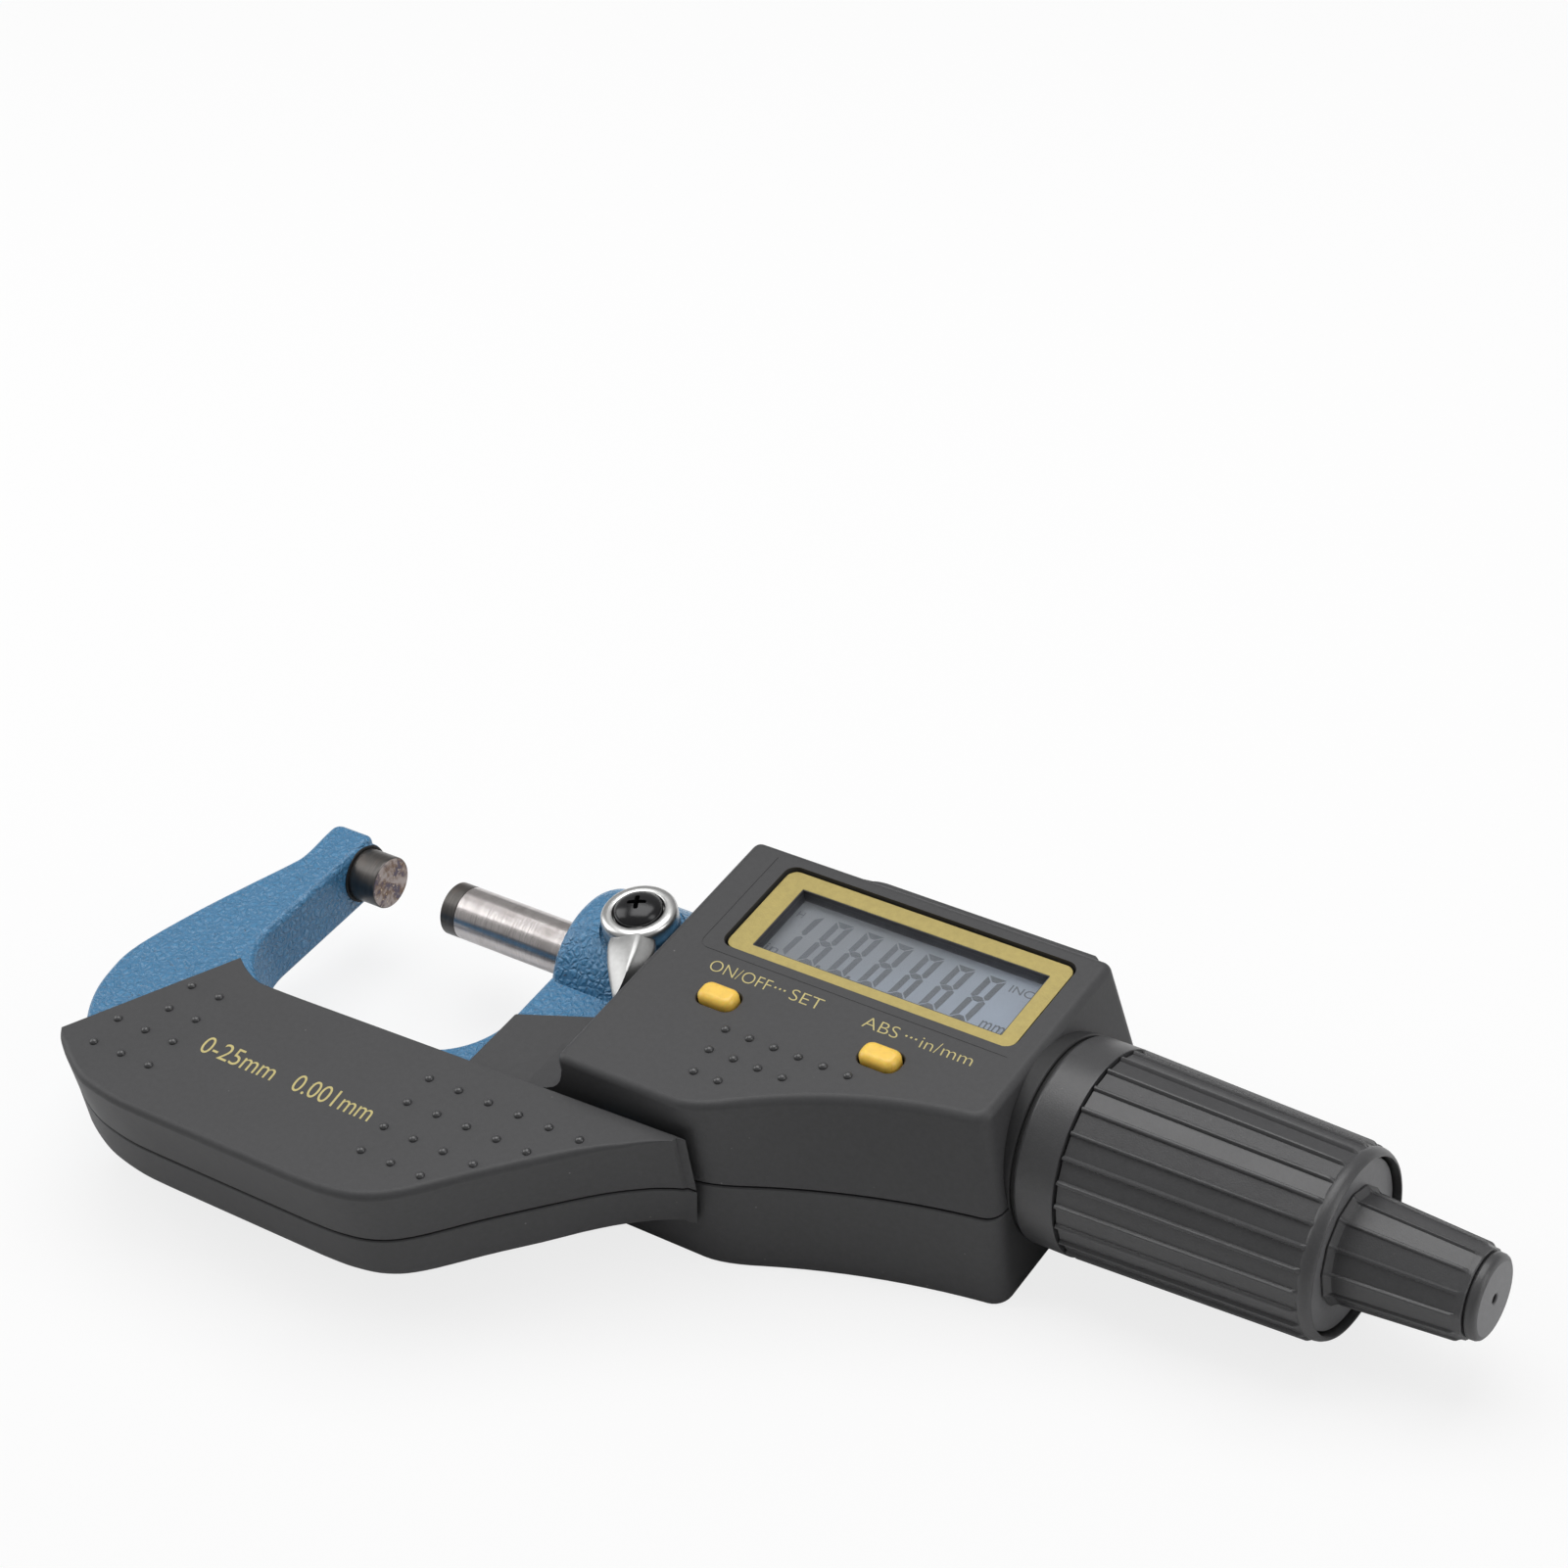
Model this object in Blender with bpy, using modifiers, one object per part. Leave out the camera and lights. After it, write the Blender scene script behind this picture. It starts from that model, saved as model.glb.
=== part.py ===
"""Digital outside micrometer, 0 to 25 mm, lying on its back.

Origin at the centre of the anvil's measuring face, +X along the spindle away
from the anvil, +Y from the grip to the display, +Z out of the display.
"""

import bmesh
import bpy
from math import cos, pi, radians, sin
from mathutils import Matrix, Vector

# Clearances between pieces
SEAT_GAP = 0.0003
RUN_GAP = 0.00025
BRAZE_GAP = 0.0001
SEAM_GAP = 0.0002

# Spindle and anvil
SPINDLE_RADIUS = 0.00325
SPINDLE_OPENING = 0.0104
TIP_LENGTH = 0.0021
TIP_CHAMFER = 0.0002
SPINDLE_END_X = 0.1115
DRIVE_START_X = 0.0700
DRIVE_FLAT = 0.0026
ANVIL_STICK_OUT = 0.0040
ANVIL_SHANK_DEPTH = 0.0045

# Frame casting
FRAME_HALF = 0.0040
FRAME_EDGE = 0.0007
ARM_HUB_RADIUS = 0.0043
ARM_TIP_WIDTH = 0.0064
THROAT_RIGHT_X = 0.0314
THROAT_FLOOR_Y = -0.0240
THROAT_LEFT_RADIUS = 0.0076
THROAT_RIGHT_RADIUS = 0.0091
ARM_LEAN = 0.0006
HUB_RADIUS = 0.0086
HUB_EDGE = 0.0008
HUB_END_X = 0.0500
BARREL_RADIUS = 0.0055
BARREL_END_X = 0.0620
TONGUE_END_X = 0.0558
TONGUE_TOP_Y = 0.0050
SLEEVE_RADIUS = 0.0046
NUT_LENGTH = 0.0058
NUT_RADIUS = 0.0055

# Lock lever
LOCK_X = 0.0401
LOCK_SEAT_DEPTH = 0.0007
LOCK_SEAT_RADIUS = 0.0049
RING_RADIUS = 0.0045
RING_HEIGHT = 0.0030
RING_EDGE = 0.0006
LEVER_LENGTH = 0.0102
LEVER_WIDTH = 0.0046
LEVER_THICKNESS = 0.0020
LEVER_ANGLE = radians(17)
LEVER_DROOP = radians(9)
LOCK_SCREW_RADIUS = 0.00285
LOCK_SCREW_DOME = 0.0010
LOCK_SHANK_RADIUS = 0.0010
CLAMP_RADIUS = 0.0020
PAD_RADIUS = 0.0012
PAD_LENGTH = 0.0014

# Hand grip shells
GRIP_TOP_Z = 0.0080
GRIP_BACK_Z = -0.0062
GRIP_FLOOR_Y = -0.0484
GRIP_WALL = 0.0020
GRIP_EDGE = 0.0010
GRIP_BACK_EDGE = 0.0016
GRIP_TIP_X = 0.0638

# Housing shells
HOUSING_TOP_Z = 0.0120
HOUSING_BACK_Z = -0.0125
HOUSING_LEFT_X = 0.0455
HOUSING_RIGHT_X = 0.0955
HOUSING_TOP_Y = 0.0156
HOUSING_FLOOR_Y = -0.0239
HOUSING_CORNER_X = 0.0646
HOUSING_END_Y = -0.0144
HOUSING_WALL = 0.0018
HOUSING_EDGE = 0.0009
DRAFT_LEFT = 0.0015
DRAFT_RIGHT = 0.0016
DRAFT_FLOOR = 0.0010
DRAFT_END = 0.0036
ARC_SAG = 0.0012
END_RADIUS = 0.0022
ROOM_RADIUS = 0.0004
FLANGE_LEFT_X = 0.0322
FLANGE_HEIGHT = 0.0008
FLANGE_LEFT_Y = -0.0140
FLANGE_SLOPE = 0.363
FLANGE_FLOOR_Y = -0.0250
BOSS_RADIUS = 0.0124
BOSS_START_X = 0.0938
BOSS_END_X = 0.0969
BEARING_RADIUS = 0.0080
BEARING_START_X = 0.0892
BEARING_END_X = 0.0965

# Display and buttons
BEZEL_LEFT_X = 0.0525
BEZEL_RIGHT_X = 0.0906
BEZEL_FLOOR_Y = -0.0006
BEZEL_TOP_Y = 0.0133
BEZEL_CORNER = 0.0010
BEZEL_THICKNESS = 0.0005
BEZEL_SINK = 0.0004
WINDOW_LEFT_X = 0.0556
WINDOW_RIGHT_X = 0.0885
WINDOW_FLOOR_Y = 0.00075
WINDOW_TOP_Y = 0.0110
WINDOW_THICKNESS = 0.0006
LCD_THICKNESS = 0.0022
LCD_MARGIN = 0.0003
BOARD_THICKNESS = 0.0008
BOARD_LEFT_X = 0.0540
BOARD_RIGHT_X = 0.0880
BOARD_FLOOR_Y = -0.0106
BOARD_TOP_Y = 0.0126
BUTTON_Y = -0.00865
BUTTON_XS = (0.0575, 0.0789)
BUTTON_LENGTH = 0.0056
BUTTON_WIDTH = 0.0034
BUTTON_HEIGHT = 0.0009
BUTTON_FLANGE = 0.0006
BUTTON_TRAVEL = 0.0005
BUTTON_EDGE = 0.0006

# Battery and its cover
BATTERY_RADIUS = 0.0058
BATTERY_THICKNESS = 0.0054
BATTERY_X = 0.0770
COVER_FLOOR_Z = -0.0075
COVER_TOP_Z = 0.0110
COVER_THICKNESS = 0.0006
COVER_LUG = 0.0012
COVER_LUG_DEPTH = 0.0030
COVER_REACH = 0.0072

# Thimble and ratchet
COLLAR_START_X = 0.0973
COLLAR_END_X = 0.1021
COLLAR_EDGE = 0.0006
JOURNAL_START_X = 0.0860
JOURNAL_RADIUS = 0.0043
DRIVE_END_X = 0.1040
TUBE_RADIUS = 0.0092
TUBE_WALL = 0.0012
GRIP_START_X = 0.1024
GRIP_END_X = 0.1300
GRIP_START_WALL = 0.0022
GRIP_END_WALL = 0.0013
GRIP_LIP = 0.0008
RIB_COUNT = 26
RIB_HEIGHT = 0.00035
RIB_WIDTH_DEG = 3.0
RIB_RUN_OUT = 0.0025
END_DISC_GAP = 0.0004
END_DISC_THICKNESS = 0.0014
END_DISC_SINK = 0.0006
ROTOR_X = 0.0864
ROTOR_THICKNESS = 0.0010
ENCODER_RADIUS = 0.0062
STATOR_X = 0.0844
STATOR_HALF_WIDTH = 0.0080
KNOB_START_X = 0.1303
KNOB_END_X = 0.1432
KNOB_START_RADIUS = 0.0060
KNOB_END_RADIUS = 0.0052
KNOB_RIBS = 13
KNOB_RIB_HEIGHT = 0.00028
CAP_RADIUS = 0.0051
CAP_END_X = 0.1467
CAP_EDGE = 0.0007
CAP_HOLE_RADIUS = 0.0006
CAP_HOLE_DEPTH = 0.0008
SHAFT_RADIUS = 0.0015
SHAFT_START_X = 0.1268
SHAFT_HEAD_RADIUS = 0.0026
SPRING_RADIUS = 0.0030
SPRING_WIRE = 0.00035
SPRING_TURNS = 4
COIL_POINTS = 12
CLICK_TEETH = 12

# Screws
SCREW_RADIUS = 0.0008
SCREW_HEAD_RADIUS = 0.0015
SCREW_HEAD_HEIGHT = 0.0009
SCREW_SINK = 0.0002
BOSS_WALL = 0.0007
SCREW_REACH_Z = 0.0080
HOUSING_SCREWS = ((0.0502, 0.0118), (0.0500, -0.0200), (0.0665, -0.0182), (0.0918, 0.0106))
GRIP_SCREWS = ((0.0040, -0.0350), (0.0420, -0.0330))

# What follows from the sizes above
LOCK_SEAT_Z = HUB_RADIUS - LOCK_SEAT_DEPTH
RING_TOP_Z = LOCK_SEAT_Z + RING_HEIGHT
NUT_START_X = BARREL_END_X + SEAT_GAP
BEZEL_SEAT_Z = HOUSING_TOP_Z - BEZEL_SINK - BEZEL_THICKNESS - SEAT_GAP
LCD_TOP_Z = HOUSING_TOP_Z - HOUSING_WALL - SEAT_GAP
BOARD_TOP_Z = LCD_TOP_Z - LCD_THICKNESS - SEAT_GAP
SCREW_HOLE = SCREW_RADIUS + SEAT_GAP
BOSS_PIN = SCREW_HEAD_RADIUS + SEAT_GAP + BOSS_WALL
TUBE_END_X = GRIP_END_X - END_DISC_SINK - END_DISC_THICKNESS - SEAT_GAP

for leftover in list(bpy.data.objects):
    bpy.data.objects.remove(leftover, do_unlink=True)
parts = bpy.data.collections.new("micrometer")
cutters = bpy.data.collections.new("cutters")
bpy.context.scene.collection.children.link(parts)
bpy.context.scene.collection.children.link(cutters)


def material(name, colour, roughness, metallic=0.0):
    mat = bpy.data.materials.new(name)
    mat.use_nodes = True
    shader = mat.node_tree.nodes["Principled BSDF"]
    shader.inputs["Base Color"].default_value = (*colour, 1.0)
    shader.inputs["Roughness"].default_value = roughness
    shader.inputs["Metallic"].default_value = metallic
    return mat


def arc(centre, radius, start_deg, end_deg, steps):
    """Points on an arc, both ends included."""
    points = []
    for i in range(steps + 1):
        a = radians(start_deg + (end_deg - start_deg) * i / steps)
        points.append((centre[0] + radius * cos(a), centre[1] + radius * sin(a)))
    return points


def sagged(start, end, sag, steps):
    """Points on a shallow arc that bows to the left of its chord."""
    chord = Vector(end) - Vector(start)
    side = Vector((-chord.y, chord.x)).normalized()
    points = []
    for i in range(steps + 1):
        t = i / steps
        points.append(tuple(Vector(start) + chord * t + side * (4 * sag * t * (1 - t))))
    return points


def smooth_path(anchors, steps):
    """Points on a smooth open curve through the anchors."""
    ends = [anchors[0], *anchors, anchors[-1]]
    points = []
    for i in range(1, len(ends) - 2):
        p0, p1, p2, p3 = (Vector(p) for p in ends[i - 1:i + 3])
        for k in range(steps):
            t = k / steps
            points.append(tuple(0.5 * (2 * p1 + (p2 - p0) * t
                                       + (2 * p0 - 5 * p1 + 4 * p2 - p3) * t ** 2
                                       + (3 * p1 - p0 - 3 * p2 + p3) * t ** 3)))
    return [*points, tuple(anchors[-1])]


def inset(outline, distance):
    """A closed outline, counter-clockwise, moved inwards by a distance."""
    moved = []
    count = len(outline)
    for i in range(count):
        before, here, after = (Vector(outline[(i + k) % count]) for k in (-1, 0, 1))
        u = (here - before).normalized()
        v = (after - here).normalized()
        n1 = Vector((-u.y, u.x))
        n2 = Vector((-v.y, v.x))
        moved.append(tuple(here + (n1 + n2) * (distance / (1.0 + n1.dot(n2)))))
    return moved


def rounded_box(x0, y0, x1, y1, radius, steps=4):
    points = arc((x1 - radius, y1 - radius), radius, 0, 90, steps)
    points += arc((x0 + radius, y1 - radius), radius, 90, 180, steps)
    points += arc((x0 + radius, y0 + radius), radius, 180, 270, steps)
    points += arc((x1 - radius, y0 + radius), radius, 270, 360, steps)
    return points


def add_object(name, mesh, mat=None, collection=None):
    obj = bpy.data.objects.new(name, mesh)
    (collection or parts).objects.link(obj)
    if mat:
        mesh.materials.clear()
        mesh.materials.append(mat)
    if collection is cutters:
        obj.hide_render = True
        obj.display_type = "WIRE"
    return obj


def edit(obj, operation):
    """Runs a bmesh operation on an object's mesh."""
    bm = bmesh.new()
    bm.from_mesh(obj.data)
    operation(bm)
    bm.to_mesh(obj.data)
    bm.free()
    return obj


def plate(name, outlines, low, high, mat=None, collection=None):
    """A flat piece from one or more closed outlines, from low to high in z."""
    curve = bpy.data.curves.new(name, "CURVE")
    curve.dimensions = "2D"
    curve.fill_mode = "BOTH"
    curve.extrude = (high - low) / 2
    for outline in outlines:
        line = curve.splines.new("POLY")
        line.points.add(len(outline) - 1)
        for point, (x, y) in zip(line.points, outline):
            point.co = (x, y, 0.0, 1.0)
        line.use_cyclic_u = True
    shape = bpy.data.objects.new(name + "_outline", curve)
    parts.objects.link(shape)
    bpy.context.view_layer.update()
    view = bpy.context.evaluated_depsgraph_get()
    mesh = bpy.data.meshes.new_from_object(shape.evaluated_get(view))
    bpy.data.objects.remove(shape)
    bpy.data.curves.remove(curve)
    mesh.transform(Matrix.Translation((0, 0, (low + high) / 2)))
    obj = add_object(name, mesh, mat, collection)

    def merge_flats(bm):
        weld(bm)
        bmesh.ops.dissolve_limit(bm, angle_limit=0.005, verts=bm.verts, edges=bm.edges)
        bmesh.ops.recalc_face_normals(bm, faces=bm.faces)
    return edit(obj, merge_flats)


def drafted(name, foot, head, low, high, mat=None, collection=None):
    """A block whose outline changes from foot to head, as a moulding's draft does."""
    mesh = bpy.data.meshes.new(name)
    bm = bmesh.new()
    base = bm.faces.new([bm.verts.new((x, y, low)) for x, y in foot])
    grown = bmesh.ops.extrude_face_region(bm, geom=[base])
    top = [e for e in grown["geom"] if isinstance(e, bmesh.types.BMVert)]
    places = {(round(x, 7), round(y, 7)): spot for (x, y), spot in zip(foot, head)}
    for vert in top:
        spot = places[(round(vert.co.x, 7), round(vert.co.y, 7))]
        vert.co = (*spot, high)
    bmesh.ops.recalc_face_normals(bm, faces=bm.faces)
    bm.to_mesh(mesh)
    bm.free()
    return add_object(name, mesh, mat, collection)


def round_edges(obj, test, width, segments=2):
    """Rounds the edges whose two ends both pass the test."""
    def operation(bm):
        chosen = [e for e in bm.edges
                  if all(test(v.co) for v in e.verts) and e.calc_face_angle(0.0) > 0.5]
        bmesh.ops.bevel(bm, geom=chosen, offset=width, segments=segments, profile=0.5,
                        affect="EDGES", clamp_overlap=True)
    return edit(obj, operation)


def turned(name, profile, mat=None, steps=32, collection=None, along="X", place=(0, 0, 0)):
    """A turned piece from (distance along the axis, radius) points.

    A profile that starts and ends on the axis is solid, and any other is a closed ring.
    """
    ring = min(profile[0][1], profile[-1][1]) > 0
    area = sum(a[0] * b[1] - b[0] * a[1] for a, b in zip(profile, [*profile[1:], profile[0]]))
    points = list(profile if area > 0 else reversed(profile))
    mesh = bpy.data.meshes.new(name)
    edges = [(i, i + 1) for i in range(len(points) - 1)]
    if ring:
        edges.append((len(points) - 1, 0))
    mesh.from_pydata([(r, 0.0, a) for a, r in points], edges, [])
    obj = add_object(name, mesh, mat, collection)
    screw = obj.modifiers.new("turn", "SCREW")
    screw.axis = "Z"
    screw.steps = screw.render_steps = steps
    screw.use_merge_vertices = True
    screw.merge_threshold = 0.00001
    screw.use_smooth_shade = True
    if along == "X":
        obj.rotation_euler = (0, pi / 2, 0)
    elif along == "Y":
        obj.rotation_euler = (-pi / 2, 0, 0)
    obj.location = place
    return bake(obj)


def bake(obj):
    """Puts an object's modifiers and placement into its mesh."""
    bpy.context.view_layer.update()
    view = bpy.context.evaluated_depsgraph_get()
    mesh = bpy.data.meshes.new_from_object(obj.evaluated_get(view))
    mesh.transform(obj.matrix_world)
    obj.modifiers.clear()
    obj.data = mesh
    obj.matrix_world = Matrix.Identity(4)
    edit(obj, lambda bm: bmesh.ops.recalc_face_normals(bm, faces=bm.faces))
    return obj


def rod(name, start, end, radius, mat=None, steps=24, collection=None, along="X", place=(0, 0, 0)):
    """A plain solid cylinder along an axis."""
    profile = [(start, 0.0), (start, radius), (end, radius), (end, 0.0)]
    return turned(name, profile, mat, steps, collection, along, place)


def tube(name, start, end, outer, inner, mat=None, steps=32, collection=None, along="X"):
    profile = [(start, inner), (start, outer), (end, outer), (end, inner)]
    return turned(name, profile, mat, steps, collection, along)


def box(name, low, high, mat=None, collection=None):
    bpy.ops.mesh.primitive_cube_add(size=1)
    obj = bpy.context.active_object
    for owner in list(obj.users_collection):
        owner.objects.unlink(obj)
    mesh = obj.data
    bpy.data.objects.remove(obj)
    middle = [(a + b) / 2 for a, b in zip(low, high)]
    size = [b - a for a, b in zip(low, high)]
    mesh.transform(Matrix.Translation(middle) @ Matrix.Diagonal((*size, 1.0)))
    return add_object(name, mesh, mat, collection)


def combine(obj, other, operation):
    """Joins or cuts an object with another, which is used up."""
    change = obj.modifiers.new("shape", "BOOLEAN")
    change.operation = operation
    change.solver = "EXACT"
    change.object = other
    bake(obj)
    bpy.data.objects.remove(other)
    return edit(obj, weld)


def weld(bm):
    """Merges the doubled points that a cut leaves."""
    bmesh.ops.remove_doubles(bm, verts=bm.verts, dist=1e-6)
    bmesh.ops.dissolve_degenerate(bm, edges=bm.edges, dist=1e-6)


def cut(obj, *others):
    for other in others:
        combine(obj, other, "DIFFERENCE")
    return obj


def join(obj, *others):
    for other in others:
        combine(obj, other, "UNION")
    return obj


def hole(x, y, low, high, radius, steps=12):
    return rod("hole", low, high, radius, steps=steps, collection=cutters, along="Z",
               place=(x, y, 0))


def set_origin(obj, place):
    """Moves an object's origin to a point without moving its surface."""
    obj.data.transform(Matrix.Translation([-v for v in place]))
    obj.location = place


def soften(obj, angle=35):
    obj.data.shade_smooth()
    obj.data.set_sharp_from_angle(angle=radians(angle))


blue_paint = material("blue_paint", (0.045, 0.19, 0.38), 0.45)
dark_plastic = material("dark_plastic", (0.055, 0.055, 0.057), 0.55)
satin_grey = material("satin_grey", (0.075, 0.075, 0.078), 0.40)
disc_grey = material("disc_grey", (0.16, 0.16, 0.165), 0.45)
ground_steel = material("ground_steel", (0.62, 0.60, 0.58), 0.25, 1.0)
carbide = material("carbide", (0.14, 0.14, 0.15), 0.35, 1.0)
chrome = material("satin_chrome", (0.72, 0.72, 0.71), 0.25, 1.0)
black_steel = material("black_steel", (0.015, 0.015, 0.016), 0.25, 0.6)
brass = material("brass", (0.72, 0.50, 0.20), 0.35, 1.0)
gold_print = material("gold_print", (0.50, 0.38, 0.13), 0.45)
amber = material("amber_plastic", (0.90, 0.52, 0.06), 0.35)
clear = material("clear_plastic", (0.90, 0.92, 0.94), 0.05)
lcd_grey = material("lcd_grey", (0.40, 0.44, 0.47), 0.30)
board_green = material("board_green", (0.03, 0.16, 0.07), 0.50)
battery_steel = material("battery_steel", (0.66, 0.66, 0.66), 0.30, 1.0)


def frame_outline():
    """The casting's outline, throat first, counter-clockwise."""
    inner = -ANVIL_STICK_OUT
    left = inner - ARM_LEAN
    tip_y = ARM_HUB_RADIUS * 0.3
    points = [(THROAT_RIGHT_X, TONGUE_TOP_Y)]
    points += arc((THROAT_RIGHT_X - THROAT_RIGHT_RADIUS, THROAT_FLOOR_Y + THROAT_RIGHT_RADIUS),
                  THROAT_RIGHT_RADIUS, 0, -90, 6)
    points += arc((left + THROAT_LEFT_RADIUS, THROAT_FLOOR_Y + THROAT_LEFT_RADIUS),
                  THROAT_LEFT_RADIUS, -90, -180, 6)
    points.append((inner, tip_y))
    back = inner - ARM_TIP_WIDTH
    grip_y = GRIP_FLOOR_Y + GRIP_WALL + SEAT_GAP
    points += smooth_path([(back, tip_y), (back + 0.0003, -0.0040), (back - 0.0022, -0.0105),
                           (back - 0.0070, -0.0228), (back - 0.0080, -0.0283),
                           (back - 0.0070, -0.0340), (back - 0.0034, -0.0395),
                           (back + 0.0032, -0.0435), (back + 0.0110, grip_y)], 2)
    points += smooth_path([(0.0315, grip_y), (0.0374, grip_y + 0.0028), (0.0440, -0.0371),
                           (0.0512, -0.0307), (TONGUE_END_X, -0.0276)], 2)
    points.append((TONGUE_END_X, TONGUE_TOP_Y))
    return points


# Frame
frame = plate("frame", [frame_outline()], -FRAME_HALF, FRAME_HALF, blue_paint)
round_edges(frame, lambda co: abs(abs(co.z) - FRAME_HALF) < 1e-6, FRAME_EDGE)
join(frame,
     rod("arm_hub", -ANVIL_STICK_OUT - ARM_TIP_WIDTH + 0.0004, -ANVIL_STICK_OUT, ARM_HUB_RADIUS,
         collection=cutters),
     turned("hub", [(THROAT_RIGHT_X, 0.0), (THROAT_RIGHT_X, HUB_RADIUS - HUB_EDGE),
                    (THROAT_RIGHT_X + HUB_EDGE * 0.3, HUB_RADIUS - HUB_EDGE * 0.3),
                    (THROAT_RIGHT_X + HUB_EDGE, HUB_RADIUS), (HUB_END_X, HUB_RADIUS),
                    (HUB_END_X, BARREL_RADIUS), (BARREL_END_X, BARREL_RADIUS),
                    (BARREL_END_X, 0.0)], steps=36, collection=cutters))
cut(frame,
    rod("sleeve_bore", THROAT_RIGHT_X - 0.001, BARREL_END_X + 0.001, SLEEVE_RADIUS + SEAT_GAP,
        steps=32, collection=cutters),
    rod("anvil_bore", -ANVIL_STICK_OUT - ANVIL_SHANK_DEPTH, 0.0, SPINDLE_RADIUS + SEAT_GAP,
        steps=32, collection=cutters),
    hole(LOCK_X, 0, LOCK_SEAT_Z, LOCK_SEAT_Z + 0.002, LOCK_SEAT_RADIUS, 32),
    hole(LOCK_X, 0, SLEEVE_RADIUS * 0.5, LOCK_SEAT_Z + 0.001, CLAMP_RADIUS + RUN_GAP))
for screw_x, screw_y in (*GRIP_SCREWS, HOUSING_SCREWS[1]):
    cut(frame, hole(screw_x, screw_y, -FRAME_HALF - 0.001, FRAME_HALF + 0.001, SCREW_HOLE))
soften(frame)

anvil_back = -ANVIL_STICK_OUT - ANVIL_SHANK_DEPTH + SEAT_GAP
anvil = turned("anvil", [(anvil_back, 0.0), (anvil_back, SPINDLE_RADIUS - TIP_CHAMFER),
                         (anvil_back + TIP_CHAMFER, SPINDLE_RADIUS),
                         (-TIP_CHAMFER, SPINDLE_RADIUS), (0.0, SPINDLE_RADIUS - TIP_CHAMFER),
                         (0.0, 0.0)], carbide, 32)
soften(anvil)

# Guide sleeve, with a side hole for the clamp pad, and the feed nut behind it
sleeve = tube("spindle_sleeve", THROAT_RIGHT_X + SEAT_GAP, BARREL_END_X - SEAT_GAP,
              SLEEVE_RADIUS, SPINDLE_RADIUS + RUN_GAP, ground_steel)
cut(sleeve, hole(LOCK_X, 0, 0.0, SLEEVE_RADIUS + 0.001, CLAMP_RADIUS + RUN_GAP))
soften(sleeve)
nut_end = NUT_START_X + NUT_LENGTH
nut = tube("spindle_nut", NUT_START_X, nut_end, NUT_RADIUS, SPINDLE_RADIUS + RUN_GAP, brass)
for turn in range(2):
    slot = box("slot", (nut_end - 0.0012, -0.0006, -NUT_RADIUS - 0.001),
               (nut_end + 0.001, 0.0006, NUT_RADIUS + 0.001), collection=cutters)
    slot.data.transform(Matrix.Rotation(pi / 2 * turn, 4, "X"))
    cut(nut, slot)
soften(nut)

# Spindle: round and ground in front, two flats behind for the thimble to drive
tip_end = SPINDLE_OPENING + TIP_LENGTH
spindle_tip = turned("spindle_tip", [(SPINDLE_OPENING, 0.0),
                                     (SPINDLE_OPENING, SPINDLE_RADIUS - TIP_CHAMFER),
                                     (SPINDLE_OPENING + TIP_CHAMFER, SPINDLE_RADIUS),
                                     (tip_end, SPINDLE_RADIUS), (tip_end, 0.0)], carbide, 32)
soften(spindle_tip)
spindle = rod("spindle", tip_end + BRAZE_GAP, SPINDLE_END_X, SPINDLE_RADIUS, ground_steel, 32)
for side in (-1, 1):
    flat_low, flat_high = sorted((side * DRIVE_FLAT, side * (SPINDLE_RADIUS + 0.001)))
    cut(spindle, box("flat", (DRIVE_START_X, -0.01, flat_low),
                     (SPINDLE_END_X + 0.001, 0.01, flat_high), collection=cutters))
soften(spindle)

# Lock: lever ring on the clamp screw, held by a black screw, pressing a pad on the spindle
pad_low = SPINDLE_RADIUS + RUN_GAP
pad_high = pad_low + PAD_LENGTH
clamp_pad = rod("clamp_pad", pad_low, pad_high, PAD_RADIUS, brass, 16, along="Z",
                place=(LOCK_X, 0, 0))
soften(clamp_pad)
ring_low = LOCK_SEAT_Z + SEAT_GAP
clamp_top = ring_low + (RING_TOP_Z - ring_low) * 0.5
clamp = turned("clamp_screw", [(pad_high + SEAT_GAP, 0.0), (pad_high + SEAT_GAP, CLAMP_RADIUS),
                               (clamp_top, CLAMP_RADIUS), (clamp_top, 0.0)], ground_steel, 24,
               along="Z", place=(LOCK_X, 0, 0))
cut(clamp, hole(LOCK_X, 0, pad_high + 0.001, clamp_top + 0.001, LOCK_SHANK_RADIUS + SEAT_GAP))
soften(clamp)
bore = CLAMP_RADIUS + SEAT_GAP
seat_z = RING_TOP_Z - 0.0004
lever = turned("lock_lever", [(ring_low, bore), (ring_low, RING_RADIUS - RING_EDGE * 0.4),
                              (ring_low + RING_EDGE * 0.4, RING_RADIUS),
                              (RING_TOP_Z - RING_EDGE, RING_RADIUS),
                              (RING_TOP_Z - RING_EDGE * 0.3, RING_RADIUS - RING_EDGE * 0.3),
                              (RING_TOP_Z, RING_RADIUS - RING_EDGE),
                              (RING_TOP_Z, LOCK_SCREW_RADIUS + SEAT_GAP),
                              (seat_z, LOCK_SCREW_RADIUS + SEAT_GAP),
                              (seat_z - 0.0003, bore)], chrome, 28, along="Z")
half = LEVER_WIDTH / 2
right_side = smooth_path([(half * 0.35, -LEVER_LENGTH), (half * 0.78, -LEVER_LENGTH * 0.80),
                          (half * 1.05, -LEVER_LENGTH * 0.58), (half, -RING_RADIUS * 0.72)], 5)
left_side = smooth_path([(-half, -RING_RADIUS * 0.72), (-half * 0.98, -LEVER_LENGTH * 0.55),
                         (-half * 0.50, -LEVER_LENGTH * 0.80), (half * 0.12, -LEVER_LENGTH)], 5)
fin_top = RING_TOP_Z - 0.0001
fin = plate("fin", [right_side + left_side], fin_top - LEVER_THICKNESS, fin_top,
            collection=cutters)
round_edges(fin, lambda co: co.z > fin_top - 1e-6, LEVER_THICKNESS * 0.35)
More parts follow.
